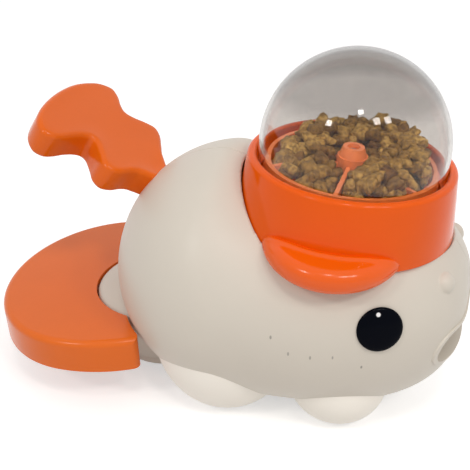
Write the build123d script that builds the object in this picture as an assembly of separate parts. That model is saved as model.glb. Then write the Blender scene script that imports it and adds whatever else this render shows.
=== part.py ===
"""Dog food dispenser shaped like a round animal.

A paw presses the wide pedal at the back. The pedal's lever pulls a toothed rack backwards, the rack
turns a pinion, and the pinion turns the rotor in the bowl under the clear dome. The rotor's vanes push
food over a port in the bowl floor, and it slides down a chute and out of the mouth.

Millimetres. +X is the nose, +Y the animal's left side, +Z up, origin on the floor under the middle.
"""
from build123d import *
import os
from math import atan2, cos, degrees, hypot, pi, radians, sin, sqrt

# Overall sizes
HALF_LENGTH = 156.3       # from the middle to the muzzle's tip, and to the pedal's rear edge
BODY_Z = 81.0             # height of the body's middle line
RUMP_X = 12.0             # centre of the round rump
RUMP_R = 80.0             # rump radius in side view
RUMP_HALF_W = 85.5        # half of the body's greatest width
MUZZLE_HALF_W = 73.0      # half width that the body heads for at the muzzle
MUZZLE_TOP = 62.0         # height above the middle line that it heads for
MUZZLE_BOTTOM = 82.0      # depth below the middle line that it heads for
MUZZLE_POWER = 2.9        # over 2 makes the muzzle blunt
SADDLE = 0.17             # share of the top's height that is lost under the collar
SADDLE_X = (-2.0, 42.0, 96.0)   # where the saddle starts, is deepest and ends
SECTIONS_X = (-2, 4, 10, 16, 22, 28, 35, 43, 53, 62, 70, 78, 86, 96, 105, 114, 125, 135.5, 144, 150, 154)
LAST_SECTION = 0.999      # share of the way to the muzzle's tip
BODY_WALL = 2.4
BELLY_Z = 5.0             # the belly is cut flat here
BASE_T = 2.5
FIT = 0.3                 # gap between pieces that are put together

# Bowl, collar and dome, in a frame that leans forward
BOWL_X = 78.7
RIM_Z = 164.2
LEAN = 3.8                # degrees, towards the nose
COLLAR_RIM_R = 61.0
COLLAR_FLARE = 0.13       # growth of radius per millimetre downwards
COLLAR_H = 39.0
COLLAR_WALL = 3.0
COLLAR_GAP = 0.9          # dark groove between it and the body
COLLAR_RIM_ROUND = 2.2
COLLAR_BORE_R = 56.0
LEDGE_R = 53.2
LEDGE_DEPTH = 9.0         # below the rim
LEDGE_T = 2.5
FLANGE_R = 52.0           # inner radius of the collar's foot flange
FLANGE_T = 3.0
DECK_T = 2.8              # deck inside the body that carries the collar
DECK_R = 50.0             # its hole
DOME_R = 55.2
DOME_WALL = 2.0
DOME_RISE = 7.5           # centre of the half ball above the rim
BOWL_FLANGE_T = 1.5
BOWL_WALL = 2.1
BOWL_FLOOR_DEPTH = 15.5
BOWL_FLOOR_T = 2.0
PORT_INNER_R = 18.0
PORT_OUTER_R = 44.0
PORT_HALF_ANGLE = 26.0

# Rotor and drive
ROTOR_RING_R = 50.0
ROTOR_RING_T = 2.6
ROTOR_TOP_DEPTH = 2.0
ROTOR_GAP = 0.4           # over the bowl floor
VANES = 6
VANE_T = 2.4
HUB_R = 9.0
HUB_TOP = 1.0
CAP_H = 5.5
CAP_TOP_R = 6.3
CAP_RECESS_R = 3.8
CAP_RECESS_H = 3.6
SHAFT_R = 5.0
SHAFT_TOP_DEPTH = 5.0
RUN_FIT = 0.06            # radial gap of a shaft in its bearing
BUSH_R = 8.0
BUSH_FLANGE_R = 11.0
BUSH_LEN = 5.5
SPIGOT_R = 3.0
GEAR_TOP_DEPTH = 44.0
GEAR_H = 8.0
PINION_TEETH = 18
TURN = 60.0               # rotor turn for a full press, degrees
RACK_BACK = 7.0           # rack thickness behind its teeth
RACK_TEETH = 7
RACK_FRONT_U = 28.0

# Pedal and lever
PEDAL_X = -84.9
PEDAL_TOP_Z = 53.7
PEDAL_REAR = 71.5         # from PEDAL_X to the rear edge
PEDAL_FRONT = 88.0        # half ellipse that the arms follow forwards
PEDAL_HALF_W = 84.4
PEDAL_T = 22.0
PEDAL_WALL = 2.6
PEDAL_PAD = 2.4           # thicker part of its top, over the arm
PEDAL_ROUND = 4.0
PEDAL_TILT = 2.0          # degrees, rear edge down
PEDAL_GAP = 1.6           # to the body at the height of its top
PEDAL_TIP_ROUND = 5.0     # the two tips, in plan
NOTCH_X = -44.2
NOTCH_R = 47.2
HINGE_Z = 45.0
PRESS = 12.0              # degrees
AXLE_R = 3.0
AXLE_HALF = 40.0
HINGE_TUBE_R = 8.5
HINGE_TUBE_HALF = 32.4
HINGE_BOSS_R = 7.5
ARM_HALF_W = 13.0
ARM_T = 7.0
ARM_REAR_X = -132.0
LEVER_DX = 24.0           # lever pin from the hinge
LEVER_DZ = 74.0
LEVER_T = 5.0
LEVER_Y = 27.5
LEVER_R = 6.0
PIN_R = 3.0
SPRING_X = -66.0
SPRING_R = 6.0
SPRING_WIRE = 0.8
SPRING_TURNS = 6
SPRING_SEAT_T = 1.2
SPRING_GAP = 0.3          # to the arm at rest

# Rear housing
HOUSING_R = 46.2
HOUSING_LOW = 8.0
HOUSING_FOOT_R = 34.0
HOUSING_KNEE_Z = 14.0     # its wall leans outwards from here
HOUSING_SHOULDER_Z = 47.0
HOUSING_Z = 50.0
HOUSING_DOME = 14.0       # rise of its rounded top above HOUSING_Z
HOUSING_ROUND = 3.0

# Mouth and chute
MOUTH_Z = 68.0
MOUTH_W = 92.0
MOUTH_H = 26.0
LIP_T = 2.2
LIP_PROUD = 1.0
LIP_BACK_X = 134.5
CHUTE_WALL = 2.0
CHUTE_IN_U = (15.5, 44.5)
CHUTE_IN_HALF_V = 20.0
CHUTE_OUT_HALF_W = 36.0
CHUTE_OUT_H = 19.0

# Ears, tail, feet, face
EAR_X = 78.5
EAR_Y = 40.0
EAR_Z = 130.3             # middle of its thickness
EAR_HALF_L = 40.3
EAR_HALF_W = 44.7
EAR_T = 15.0
EAR_DROOP = 5.4
EAR_ROUND = 6.5
TAIL_ROOT = (-44.3, 139.5)
TAIL_RISE = 34.0
TAIL_T = 19.0
TAIL_ROUND = 3.0
TAIL_TAB = 12.0
TAIL_TAB_HALF_W = 9.0
TAIL_ROOT_HALF_W = 15.0   # slot in the body for the root
TAIL_WAVE = [(-4, 7), (0, 13), (5.2, 19.1), (9.4, 26.3), (15.1, 35.3), (21.8, 39.4), (29.8, 36.7),
             (36.7, 32.8), (42.6, 31.4), (47.7, 34.9), (53.8, 41.5), (61.2, 44.9), (69.4, 39.8),
             (74.7, 30.8), (78.4, 19.4), (79.9, 7.1), (79.9, -6.1), (78.4, -19.3), (75.8, -29.6),
             (71.5, -38.2), (64.5, -43.3), (57.8, -41.5), (53.8, -35.9), (50.3, -27.3), (46.5, -20.7),
             (43, -17.6), (39, -18.6), (32.8, -24.4), (27.1, -30.4), (20.5, -31.8), (14.8, -27.1),
             (11.2, -20), (7.9, -15.5), (4, -13), (-4, -7)]
BRACKET_T = 4.0
BRACKET_HALF_W = 15.5
FEET = {"rear": ((12.0, 39.5), (45.0, 38.0, 49.6)), "front": ((85.6, 33.0), (31.8, 29.3, 31.0))}
FOOT_SINK = 1.6           # each pad is cut flat this far up
EYE_X = 112.2
EYE_Z = 93.8
EYE_R = 13.2
EYE_DOME = 3.0
NOSTRIL_Y = 31.7
NOSTRIL_Z = 109.7
NOSTRIL_R = 7.5
NOSTRIL_SINK = 3.6

# Fasteners
SCREW_R = 1.5
SCREW_HEAD_R = 3.0
SCREW_HEAD_H = 2.0
BOSS_R = 4.5
BODY_BOSSES = [(20.0, 22.0), (110.0, 30.0), (-55.0, 86.0), (-8.0, 142.0)]
BODY_SCREW_SEAT_Y = 12.0
BODY_SCREW_END_Y = -9.0
COLLAR_SCREW_R = 57.0
COLLAR_SCREW_ANGLES = (55.0, 125.0, 235.0, 305.0)

# Derived values
NOSE_LEN = HALF_LENGTH - RUMP_X
PRESSED_ANGLE = degrees(atan2(LEVER_DX, LEVER_DZ)) - PRESS
LEVER_LEN = hypot(LEVER_DX, LEVER_DZ)
COLLAR_FOOT_R = COLLAR_RIM_R + COLLAR_FLARE * COLLAR_H
ARM_TOP_Z = PEDAL_TOP_Z - PEDAL_WALL - PEDAL_PAD
MAX_SIZE = 400.0
RING = Plane(origin=(BOWL_X, 0, RIM_Z), x_dir=(cos(radians(LEAN)), 0, -sin(radians(LEAN))),
             z_dir=(sin(radians(LEAN)), 0, cos(radians(LEAN))))
UP = (Align.CENTER, Align.CENTER, Align.MIN)


def to_ring(x, z):
    """Place along and across the leaning bowl frame of a point in the middle plane."""
    dx = x - BOWL_X
    dz = z - RIM_Z
    lean = radians(LEAN)
    return dx * cos(lean) - dz * sin(lean), dx * sin(lean) + dz * cos(lean)


PIN_REST = to_ring(NOTCH_X + LEVER_DX, HINGE_Z + LEVER_DZ)
PIN_PRESSED = to_ring(NOTCH_X + LEVER_LEN * sin(radians(PRESSED_ANGLE)),
                      HINGE_Z + LEVER_LEN * cos(radians(PRESSED_ANGLE)))
STROKE = PIN_REST[0] - PIN_PRESSED[0]
PITCH_R = STROKE / radians(TURN)
MODULE = 2 * PITCH_R / PINION_TEETH
TOOTH_PITCH = pi * MODULE
RACK_ROOT_V = PITCH_R + 1.1 * MODULE
RACK_BACK_V = RACK_ROOT_V + RACK_BACK
GEAR_BOTTOM = -(GEAR_TOP_DEPTH + GEAR_H)


def turned(points):
    """Solid turned about Z from (radius, height) points."""
    return revolve(make_face(Plane.XZ * Polyline(points, close=True)), Axis.Z)


def tube(outer, inner, low, high):
    """Ring between two heights."""
    ring = Cylinder(outer, high - low, align=UP) - Cylinder(inner, high - low, align=UP)
    return Pos(0, 0, low) * ring


def rod(radius, low, high):
    """Upright round bar between two heights."""
    return Pos(0, 0, low) * Cylinder(radius, high - low, align=UP)


def block(x0, x1, y0, y1, z0, z1):
    """Box between two corners."""
    size = Box(x1 - x0, y1 - y0, z1 - z0, align=(Align.MIN, Align.MIN, Align.MIN))
    return Pos(x0, y0, z0) * size


def bar_y(radius, x, z, y0, y1):
    """Round bar across the body."""
    return Pos(x, (y0 + y1) / 2, z) * Rot(90, 0, 0) * Cylinder(radius, abs(y1 - y0))


def in_ring(shape):
    """Move a shape from the bowl's own frame to its place."""
    return RING.location * shape


def spheroid_z(radius, half_height):
    """Ball squashed along Z."""
    arc = EllipticalCenterArc((0, 0), radius, half_height, -90, arc_size=180)
    return revolve(make_face(Plane.XZ * (arc + Line(arc @ 1, arc @ 0))), Axis.Z)


# Body surface

def ease(x, start, end):
    """Smooth step from 0 to 1."""
    share = min(1.0, max(0.0, (x - start) / (end - start)))
    return share * share * (3 - 2 * share)


def body_section(x, inset):
    """Half width, top and bottom reach of the body at a place along it."""
    if x < RUMP_X:
        blend = 0
        keep = sqrt(1 - ((x - RUMP_X) / (RUMP_R - inset))**2)
    else:
        share = min(1.0, (x - RUMP_X) / (NOSE_LEN - inset))
        blend = share**2
        keep = (1 - share**MUZZLE_POWER)**(1 / MUZZLE_POWER)
    reach = []
    for rump, muzzle in ((RUMP_HALF_W, MUZZLE_HALF_W), (RUMP_R, MUZZLE_TOP), (RUMP_R, MUZZLE_BOTTOM)):
        reach.append((rump + (muzzle - rump) * blend - inset) * keep)
    start, deepest, end = SADDLE_X
    reach[1] *= 1 - SADDLE * (ease(x, start, deepest) - ease(x, deepest, end))
    return reach


def body_blob(inset=0.0):
    """The body's rounded form, drawn in by a wall thickness: half a ball behind, a blunt loft in front."""
    arc = EllipticalCenterArc((0, 0), RUMP_R - inset, RUMP_HALF_W - inset, -90, arc_size=180)
    ball = revolve(make_face(arc + Line(arc @ 1, arc @ 0)), Axis.Y)
    start = SECTIONS_X[0]
    rump = Pos(RUMP_X, 0, BODY_Z) * ball & block(-MAX_SIZE, start, -MAX_SIZE, MAX_SIZE, -MAX_SIZE, MAX_SIZE)
    faces = []
    for x in SECTIONS_X + (RUMP_X + LAST_SECTION * NOSE_LEN,):
        if x > RUMP_X:
            x = RUMP_X + (x - RUMP_X) * (NOSE_LEN - inset) / NOSE_LEN
        width, top, bottom = body_section(x, inset)
        upper = EllipticalCenterArc((0, 0), width, top, 0, arc_size=180)
        lower = EllipticalCenterArc((0, 0), width, bottom, 180, arc_size=180)
        plane = Plane(origin=(x, 0, BODY_Z), x_dir=(0, 1, 0), z_dir=(1, 0, 0))
        faces.append(plane * make_face(upper + lower))
    return rump + loft(faces)


def body_y(x, z):
    """Half width of the outside at a place ahead of the rump's centre."""
    width, top, bottom = body_section(x, 0)
    reach = top if z > BODY_Z else bottom
    return width * sqrt(1 - ((z - BODY_Z) / reach)**2)


def body_x(y, z):
    """Front of the outside at a side place and height, by halving."""
    near, far = RUMP_X, HALF_LENGTH
    for _ in range(40):
        middle = (near + far) / 2
        width, top, bottom = body_section(middle, 0)
        reach = top if z > BODY_Z else bottom
        inside = reach > 0 and (y / width)**2 + ((z - BODY_Z) / reach)**2 < 1
        near, far = (middle, far) if inside else (near, middle)
    return near


OUTSIDE = body_blob()
INSIDE = body_blob(BODY_WALL)
FITTED = body_blob(BODY_WALL + FIT)


# Collar, dome and bowl

def collar_cone(extra=0.0, top=0.0):
    """Solid cone of the collar's outside, used to cut what it passes through."""
    foot = COLLAR_FOOT_R + extra
    return turned([(0, -COLLAR_H), (foot, -COLLAR_H), (COLLAR_RIM_R + extra, 0),
                   (COLLAR_RIM_R + extra, top + 0.01), (0, top + 0.01)])


def chute_loft(grow):
    """Straight-sided funnel from the port down to the mouth, grown by a wall."""
    u0, u1 = CHUTE_IN_U
    inlet = RING * Pos((u0 + u1) / 2, 0, -BOWL_FLOOR_DEPTH - BOWL_FLOOR_T)
    outlet = Plane(origin=(LIP_BACK_X, 0, MOUTH_Z), x_dir=(0, 0, 1), z_dir=(-1, 0, 0))
    first = inlet * Rectangle(u1 - u0 + 2 * grow, 2 * (CHUTE_IN_HALF_V + grow))
    second = outlet * Rectangle(CHUTE_OUT_H + 2 * grow, 2 * (CHUTE_OUT_HALF_W + grow))
    return loft([first, second], ruled=True)


def collar():
    """Flared ring with a rounded rim, a ledge for the bowl and a foot flange with screw holes."""
    inner_top = COLLAR_RIM_R + COLLAR_FLARE * (LEDGE_DEPTH + LEDGE_T) - COLLAR_WALL
    inner_foot = COLLAR_FOOT_R - COLLAR_FLARE * FLANGE_T - COLLAR_WALL
    ring = turned([
        (COLLAR_FOOT_R, -COLLAR_H), (COLLAR_RIM_R, 0), (COLLAR_BORE_R, 0), (COLLAR_BORE_R, -LEDGE_DEPTH),
        (LEDGE_R, -LEDGE_DEPTH), (LEDGE_R, -LEDGE_DEPTH - LEDGE_T), (inner_top, -LEDGE_DEPTH - LEDGE_T),
        (inner_foot, -COLLAR_H + FLANGE_T), (FLANGE_R, -COLLAR_H + FLANGE_T), (FLANGE_R, -COLLAR_H)])
    ring = fillet(ring.edges().filter_by(GeomType.CIRCLE).sort_by(Axis.Z)[-2:], COLLAR_RIM_ROUND)
    for x, y in collar_screw_places():
        ring -= Pos(x, y, 0) * rod(SCREW_R, -COLLAR_H - 1, -COLLAR_H + FLANGE_T + 1)
    return in_ring(ring) - CHUTE_ROOM


def collar_screw_places():
    """Screw centres in the bowl frame."""
    places = []
    for angle in COLLAR_SCREW_ANGLES:
        places.append((COLLAR_SCREW_R * cos(radians(angle)), COLLAR_SCREW_R * sin(radians(angle))))
    return places


def collar_screws():
    """Screws from under the deck into the collar's flange."""
    screws = []
    under = -COLLAR_H - DECK_T
    for x, y in collar_screw_places():
        head = rod(SCREW_HEAD_R, under - SCREW_HEAD_H, under)
        screws.append(in_ring(Pos(x, y, 0) * (head + rod(SCREW_R, under, -COLLAR_H + FLANGE_T))))
    return Compound(screws)


def dome():
    """Clear half ball with a straight skirt that drops into the collar."""
    skirt = -LEDGE_DEPTH + BOWL_FLANGE_T
    outer = half_ball(DOME_R, skirt)
    inner = half_ball(DOME_R - DOME_WALL, skirt)
    return in_ring(outer - inner)


def half_ball(radius, bottom):
    """Upright cylinder with a half ball on it."""
    ball = Pos(0, 0, DOME_RISE) * Sphere(radius)
    return rod(radius, bottom, DOME_RISE) + (ball - block(-MAX_SIZE, MAX_SIZE, -MAX_SIZE, MAX_SIZE,
                                                          -MAX_SIZE, DOME_RISE))


def bowl():
    """Round tray on the collar's ledge, with a port for the food and a hole for the bush."""
    flange_top = -LEDGE_DEPTH + BOWL_FLANGE_T
    under = -BOWL_FLOOR_DEPTH - BOWL_FLOOR_T
    outer = LEDGE_R - FIT
    tray = turned([
        (0, under), (outer, under), (outer, -LEDGE_DEPTH), (COLLAR_BORE_R - FIT, -LEDGE_DEPTH),
        (COLLAR_BORE_R - FIT, flange_top), (outer - BOWL_WALL, flange_top),
        (outer - BOWL_WALL, -BOWL_FLOOR_DEPTH), (0, -BOWL_FLOOR_DEPTH)])
    half = radians(PORT_HALF_ANGLE)
    near = [(r * cos(a), r * sin(a)) for r, a in
            ((PORT_INNER_R, -half), (PORT_OUTER_R, -half), (PORT_OUTER_R, half), (PORT_INNER_R, half))]
    edge = (Line(near[0], near[1]) + ThreePointArc(near[1], (PORT_OUTER_R, 0), near[2])
            + Line(near[2], near[3]) + ThreePointArc(near[3], (PORT_INNER_R, 0), near[0]))
    port = extrude(Pos(0, 0, under - 1) * make_face(edge), BOWL_FLOOR_T + 2)
    return in_ring(tray - port - rod(BUSH_R, under - 1, -BOWL_FLOOR_DEPTH + 1))


def shaft_bush():
    """Flanged bearing in the bowl floor."""
    top = -BOWL_FLOOR_DEPTH
    under = top - BOWL_FLOOR_T
    body = rod(BUSH_R, top - BUSH_LEN, top) + rod(BUSH_FLANGE_R, under - 2, under)
    return in_ring(body - rod(SHAFT_R + RUN_FIT, top - BUSH_LEN - 1, top + 1))


# Rotor and drive

def food_rotor():
    """Ring wall, vanes and hub."""
    bottom = -BOWL_FLOOR_DEPTH + ROTOR_GAP
    wheel = tube(ROTOR_RING_R, ROTOR_RING_R - ROTOR_RING_T, bottom, -ROTOR_TOP_DEPTH)
    for vane in range(VANES):
        blade = block(HUB_R - 1, ROTOR_RING_R - ROTOR_RING_T / 2, -VANE_T / 2, VANE_T / 2,
                      bottom, -ROTOR_TOP_DEPTH - 1)
        wheel += Rot(0, 0, 360 / VANES * (vane + 0.5)) * blade
    wheel += rod(HUB_R, bottom, HUB_TOP)
    wheel -= rod(SHAFT_R, bottom - 1, -SHAFT_TOP_DEPTH)
    wheel -= rod(SCREW_R, -SHAFT_TOP_DEPTH - 1, HUB_TOP + 1)
    return in_ring(wheel)


def hub_cap():
    """Tapered cap with a hollow top, screwed to the hub."""
    top = HUB_TOP + CAP_H
    floor = top - CAP_RECESS_H
    cap = turned([(SCREW_R, HUB_TOP), (HUB_R - 0.8, HUB_TOP), (CAP_TOP_R, top), (CAP_RECESS_R, top),
                  (CAP_RECESS_R, floor), (SCREW_R, floor)])
    return in_ring(cap)


def hub_screw():
    """Screw at the bottom of the cap's hollow."""
    floor = HUB_TOP + CAP_H - CAP_RECESS_H
    return in_ring(rod(SCREW_HEAD_R, floor, floor + 1.4) + rod(SCREW_R, -SHAFT_TOP_DEPTH - 7, floor))


def tooth(root, tip):
    """Outline of one tooth that points along Y, from its root to its tip."""
    wide = 0.30 * TOOTH_PITCH
    narrow = 0.12 * TOOTH_PITCH
    return make_face(Polyline([(-wide, root), (wide, root), (narrow, tip), (-narrow, tip)], close=True))


def drive_pinion():
    """Shaft, toothed wheel and lower spigot in one piece."""
    root = PITCH_R - 1.1 * MODULE
    wheel = Cylinder(root, GEAR_H, align=UP)
    flat_tooth = extrude(tooth(root - 1, PITCH_R + 0.8 * MODULE), GEAR_H, dir=(0, 0, 1))
    for count in range(PINION_TEETH):
        wheel += Rot(0, 0, 360 / PINION_TEETH * count) * flat_tooth
    shaft = rod(SHAFT_R, -GEAR_TOP_DEPTH, -SHAFT_TOP_DEPTH) - rod(SCREW_R, -SHAFT_TOP_DEPTH - 8, 0)
    return in_ring(Pos(0, 0, GEAR_BOTTOM) * wheel + shaft + rod(SPIGOT_R, GEAR_BOTTOM - 5.2, GEAR_BOTTOM))


def rack_slider():
    """Toothed bar with a forked tail for the lever pin."""
    bar = block(PIN_REST[0] - 6.5, RACK_FRONT_U, RACK_ROOT_V, RACK_BACK_V, GEAR_BOTTOM, -GEAR_TOP_DEPTH)
    flat_tooth = extrude(tooth(RACK_ROOT_V + 1, PITCH_R - 0.8 * MODULE), GEAR_H, dir=(0, 0, 1))
    for count in range(RACK_TEETH):
        bar += Pos(TOOTH_PITCH * (count - 1.5), 0, GEAR_BOTTOM) * flat_tooth
    low = PIN_REST[1] - PIN_R - 3
    bar += block(PIN_REST[0] - 6.5, PIN_REST[0] + 6.5, RACK_ROOT_V, RACK_BACK_V, low, GEAR_BOTTOM + 1)
    slot_top = PIN_PRESSED[1] + PIN_R + 0.6
    bar -= block(PIN_REST[0] - PIN_R - FIT, PIN_REST[0] + PIN_R + FIT, RACK_ROOT_V - 1, RACK_BACK_V + 1,
                 low - 1, slot_top)
    return in_ring(bar)


def rack_guide():
    """Bracket under the deck that the bar slides through."""
    under = -COLLAR_H - DECK_T
    gap = FIT + 0.1
    outer = block(-64, -54, RACK_ROOT_V - 4, RACK_BACK_V + 4, GEAR_BOTTOM - 3, under)
    hole = block(-65, -53, RACK_ROOT_V - gap, RACK_BACK_V + gap, GEAR_BOTTOM - gap, -GEAR_TOP_DEPTH + gap)
    return in_ring(outer - hole)


def gear_bridge():
    """Bar under the pinion, hung from the deck, with a block that backs the rack."""
    under = -COLLAR_H - DECK_T
    seat = GEAR_BOTTOM - 0.5
    bar = block(-9, 9, -58, 58, seat - 3, seat)
    for side in (-1, 1):
        y0, y1 = sorted((side * 51.5, side * 58))
        bar += block(-9, 9, y0, y1, seat, under)
    bar += block(-9, 9, RACK_BACK_V + 0.4, RACK_BACK_V + 4, seat, -GEAR_TOP_DEPTH)
    bar -= rod(SPIGOT_R + RUN_FIT, seat - 4, seat + 1)
    return in_ring(bar)


# Pedal and lever

def tilt_pedal(shape):
    """Lean a piece of the pedal back about the middle of its top."""
    pivot = Pos(PEDAL_X, 0, PEDAL_TOP_Z)
    return pivot * Rot(0, -PEDAL_TILT, 0) * Pos(-PEDAL_X, 0, -PEDAL_TOP_Z) * shape


def pedal_plate(outline, thickness):
    """Upright block of a plan outline, with a thickness under the pedal's top face."""
    return Pos(0, 0, PEDAL_TOP_Z - PEDAL_T) * extrude(outline, thickness)


def pedal_oval(inset):
    """Pedal's plan before the body takes its share: two half ellipses, drawn in by a wall."""
    rear = EllipticalCenterArc((PEDAL_X, 0), PEDAL_REAR - inset, PEDAL_HALF_W - inset, 90, arc_size=180)
    front = EllipticalCenterArc((PEDAL_X, 0), PEDAL_FRONT - inset, PEDAL_HALF_W - inset, -90, arc_size=180)
    return make_face(rear + front)


def pedal_plan(inset):
    """Pedal's plan, clear of the body and the housing, with two rounded tips."""
    drop = (BODY_Z - PEDAL_TOP_Z - 2) / RUMP_R
    grow = PEDAL_GAP + inset
    keep = sqrt(1 - drop**2)
    plan = pedal_oval(inset) - Pos(RUMP_X, 0) * Ellipse(RUMP_R * keep + grow, RUMP_HALF_W * keep + grow)
    plan -= Pos(NOTCH_X, 0) * Circle(NOTCH_R + inset)
    tips = plan.vertices().sort_by(Axis.X)[-2:]
    return fillet(tips, PEDAL_TIP_ROUND - inset)


def pedal():
    """Hollow pedal, open below, with a rounded outer edge and two screw holes."""
    skin = pedal_plate(pedal_oval(0), PEDAL_T)
    skin = fillet(skin.faces().sort_by(Axis.Z)[-1].edges(), PEDAL_ROUND) & pedal_plate(pedal_plan(0), PEDAL_T)
    hollow = Pos(0, 0, -1) * pedal_plate(pedal_plan(PEDAL_WALL), PEDAL_T - PEDAL_WALL + 1)
    skin -= hollow - block(-MAX_SIZE, MAX_SIZE, -ARM_HALF_W, ARM_HALF_W, ARM_TOP_Z, PEDAL_TOP_Z)
    skin -= block(NOTCH_X - NOTCH_R - 8, NOTCH_X, -ARM_HALF_W - FIT, ARM_HALF_W + FIT, 0, ARM_TOP_Z)
    for x in pedal_screw_places():
        skin -= Pos(x, 0, 0) * rod(SCREW_R, ARM_TOP_Z - 1, ARM_TOP_Z + 4)
    return tilt_pedal(skin)


def pedal_screw_places():
    """Screws that hold the pedal on its arm."""
    return (PEDAL_X - 37, PEDAL_X - 19)


def pedal_screws():
    """Screws from below, through the arm."""
    under = ARM_TOP_Z - ARM_T
    screws = []
    for x in pedal_screw_places():
        screw = rod(SCREW_HEAD_R, under - SCREW_HEAD_H, under) + rod(SCREW_R, under, ARM_TOP_Z + 3.5)
        screws.append(tilt_pedal(Pos(x, 0, 0) * screw))
    return Compound(screws)


def pedal_arm():
    """Plate under the pedal, hinge tube across the body and upright lever."""
    plate = block(ARM_REAR_X, NOTCH_X, -ARM_HALF_W, ARM_HALF_W, ARM_TOP_Z - ARM_T, ARM_TOP_Z)
    for x in pedal_screw_places():
        plate -= Pos(x, 0, 0) * rod(SCREW_R, ARM_TOP_Z - ARM_T - 1, ARM_TOP_Z + 1)
    arm = tilt_pedal(plate) + bar_y(HINGE_TUBE_R, NOTCH_X, HINGE_Z, -HINGE_TUBE_HALF, HINGE_TUBE_HALF)
    pin_x = NOTCH_X + LEVER_DX
    pin_z = HINGE_Z + LEVER_DZ
    side = Plane(origin=(0, LEVER_Y + LEVER_T / 2, 0), x_dir=(1, 0, 0), z_dir=(0, -1, 0))
    across = LEVER_R * LEVER_DZ / LEVER_LEN
    along = LEVER_R * LEVER_DX / LEVER_LEN
    web = make_face(Polyline([(NOTCH_X - across, HINGE_Z + along), (NOTCH_X + across, HINGE_Z - along),
                              (pin_x + across, pin_z - along), (pin_x - across, pin_z + along)], close=True))
    arm += extrude(side * web, LEVER_T, dir=(0, -1, 0))
    arm += bar_y(LEVER_R, pin_x, pin_z, LEVER_Y - LEVER_T / 2, LEVER_Y + LEVER_T / 2)
    arm -= bar_y(AXLE_R + RUN_FIT, NOTCH_X, HINGE_Z, -HINGE_TUBE_HALF - 1, HINGE_TUBE_HALF + 1)
    return arm - bar_y(PIN_R, pin_x, pin_z, LEVER_Y - LEVER_T, LEVER_Y + LEVER_T)


def lever_pin():
    """Pin from the lever into the rack's fork."""
    return bar_y(PIN_R, NOTCH_X + LEVER_DX, HINGE_Z + LEVER_DZ, RACK_ROOT_V - 1, LEVER_Y + LEVER_T / 2)


def pedal_axle():
    """Steel hinge rod."""
    return bar_y(AXLE_R, NOTCH_X, HINGE_Z, -AXLE_HALF, AXLE_HALF)


def spring_ends():
    """Bottom on its seat and top under the arm, at the spring's place."""
    rise = (SPRING_X - SPRING_R - PEDAL_X) * sin(radians(PEDAL_TILT))
    return HOUSING_LOW + BODY_WALL + SPRING_SEAT_T, ARM_TOP_Z - ARM_T + rise - SPRING_GAP


def return_spring():
    """Coil spring that lifts the pedal back."""
    bottom, top = spring_ends()
    rise = top - bottom - 2 * SPRING_WIRE
    path = Helix(pitch=rise / SPRING_TURNS, height=rise, radius=SPRING_R)
    wire = Plane(origin=path @ 0, z_dir=path % 0) * Circle(SPRING_WIRE)
    return Pos(SPRING_X, 0, bottom + SPRING_WIRE) * sweep(wire, path=path, is_frenet=True)


def spring_seat():
    """Pad on the housing floor under the spring."""
    bottom = spring_ends()[0]
    pad = rod(SPRING_R + 2, bottom - SPRING_SEAT_T, bottom)
    return Pos(SPRING_X, 0, 0) * (pad + rod(SPRING_R - SPRING_WIRE - 0.4, bottom, bottom + 5))


# Body pieces

def housing_form(inset):
    """Bowl with a small foot and a low domed top, round the hinge behind the rump."""
    radius = HOUSING_R - inset
    foot = HOUSING_FOOT_R - inset
    low = HOUSING_LOW + inset
    bowl_part = turned([(0, low), (foot, low), (foot, HOUSING_KNEE_Z), (radius, HOUSING_SHOULDER_Z),
                        (radius, HOUSING_Z), (0, HOUSING_Z)])
    bowl_part = fillet(bowl_part.edges().filter_by(GeomType.CIRCLE).sort_by(Axis.Z)[0], HOUSING_ROUND)
    top = Pos(0, 0, HOUSING_Z) * spheroid_z(radius, HOUSING_DOME - inset)
    return Pos(NOTCH_X, 0, 0) * (bowl_part + top)


def rear_housing():
    """White bulge in the pedal's notch, with a window for the arm."""
    travel = HOUSING_R * sin(radians(PRESS))
    window = block(NOTCH_X - HOUSING_R - 5, NOTCH_X - HOUSING_R / 2, -ARM_HALF_W - 1, ARM_HALF_W + 1,
                   ARM_TOP_Z - ARM_T - travel - 3, ARM_TOP_Z + 2)
    return housing_form(0) - housing_form(BODY_WALL) - OUTSIDE - window


def mouth_slot(grow, x0, x1):
    """Long round-ended bar that cuts the mouth."""
    plane = Plane(origin=(x0, 0, MOUTH_Z), x_dir=(0, 1, 0), z_dir=(1, 0, 0))
    return extrude(plane * SlotOverall(MOUTH_W + 2 * grow, MOUTH_H + 2 * grow), x1 - x0)


def mouth_lip():
    """Ring that lines the mouth and stands a little proud."""
    ring = mouth_slot(0, LIP_BACK_X, MAX_SIZE / 2) - mouth_slot(-LIP_T, LIP_BACK_X - 1, MAX_SIZE / 2)
    return ring & body_blob(-LIP_PROUD)


def chute():
    """Funnel with open ends."""
    return chute_loft(CHUTE_WALL) - chute_loft(0)


def tail_plane():
    """Top face of the tail: X along it, Z out of it."""
    x, z = TAIL_ROOT
    rise = radians(TAIL_RISE)
    return Plane(origin=(x, 0, z), x_dir=(-cos(rise), 0, sin(rise)), z_dir=(sin(rise), 0, cos(rise)))


def tail_outline():
    """Wavy outline: root, first lobe, waist and end lobe."""
    return make_face(Spline(TAIL_WAVE, periodic=True))


def tail_tab(grow):
    """Tongue at the root, thinner than the plate."""
    half_t = TAIL_T / 2 - TAIL_ROUND + grow
    half_w = TAIL_TAB_HALF_W + grow
    return block(-TAIL_TAB - grow, 4, -half_w, half_w, -TAIL_T / 2 - half_t, -TAIL_T / 2 + half_t)


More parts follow.
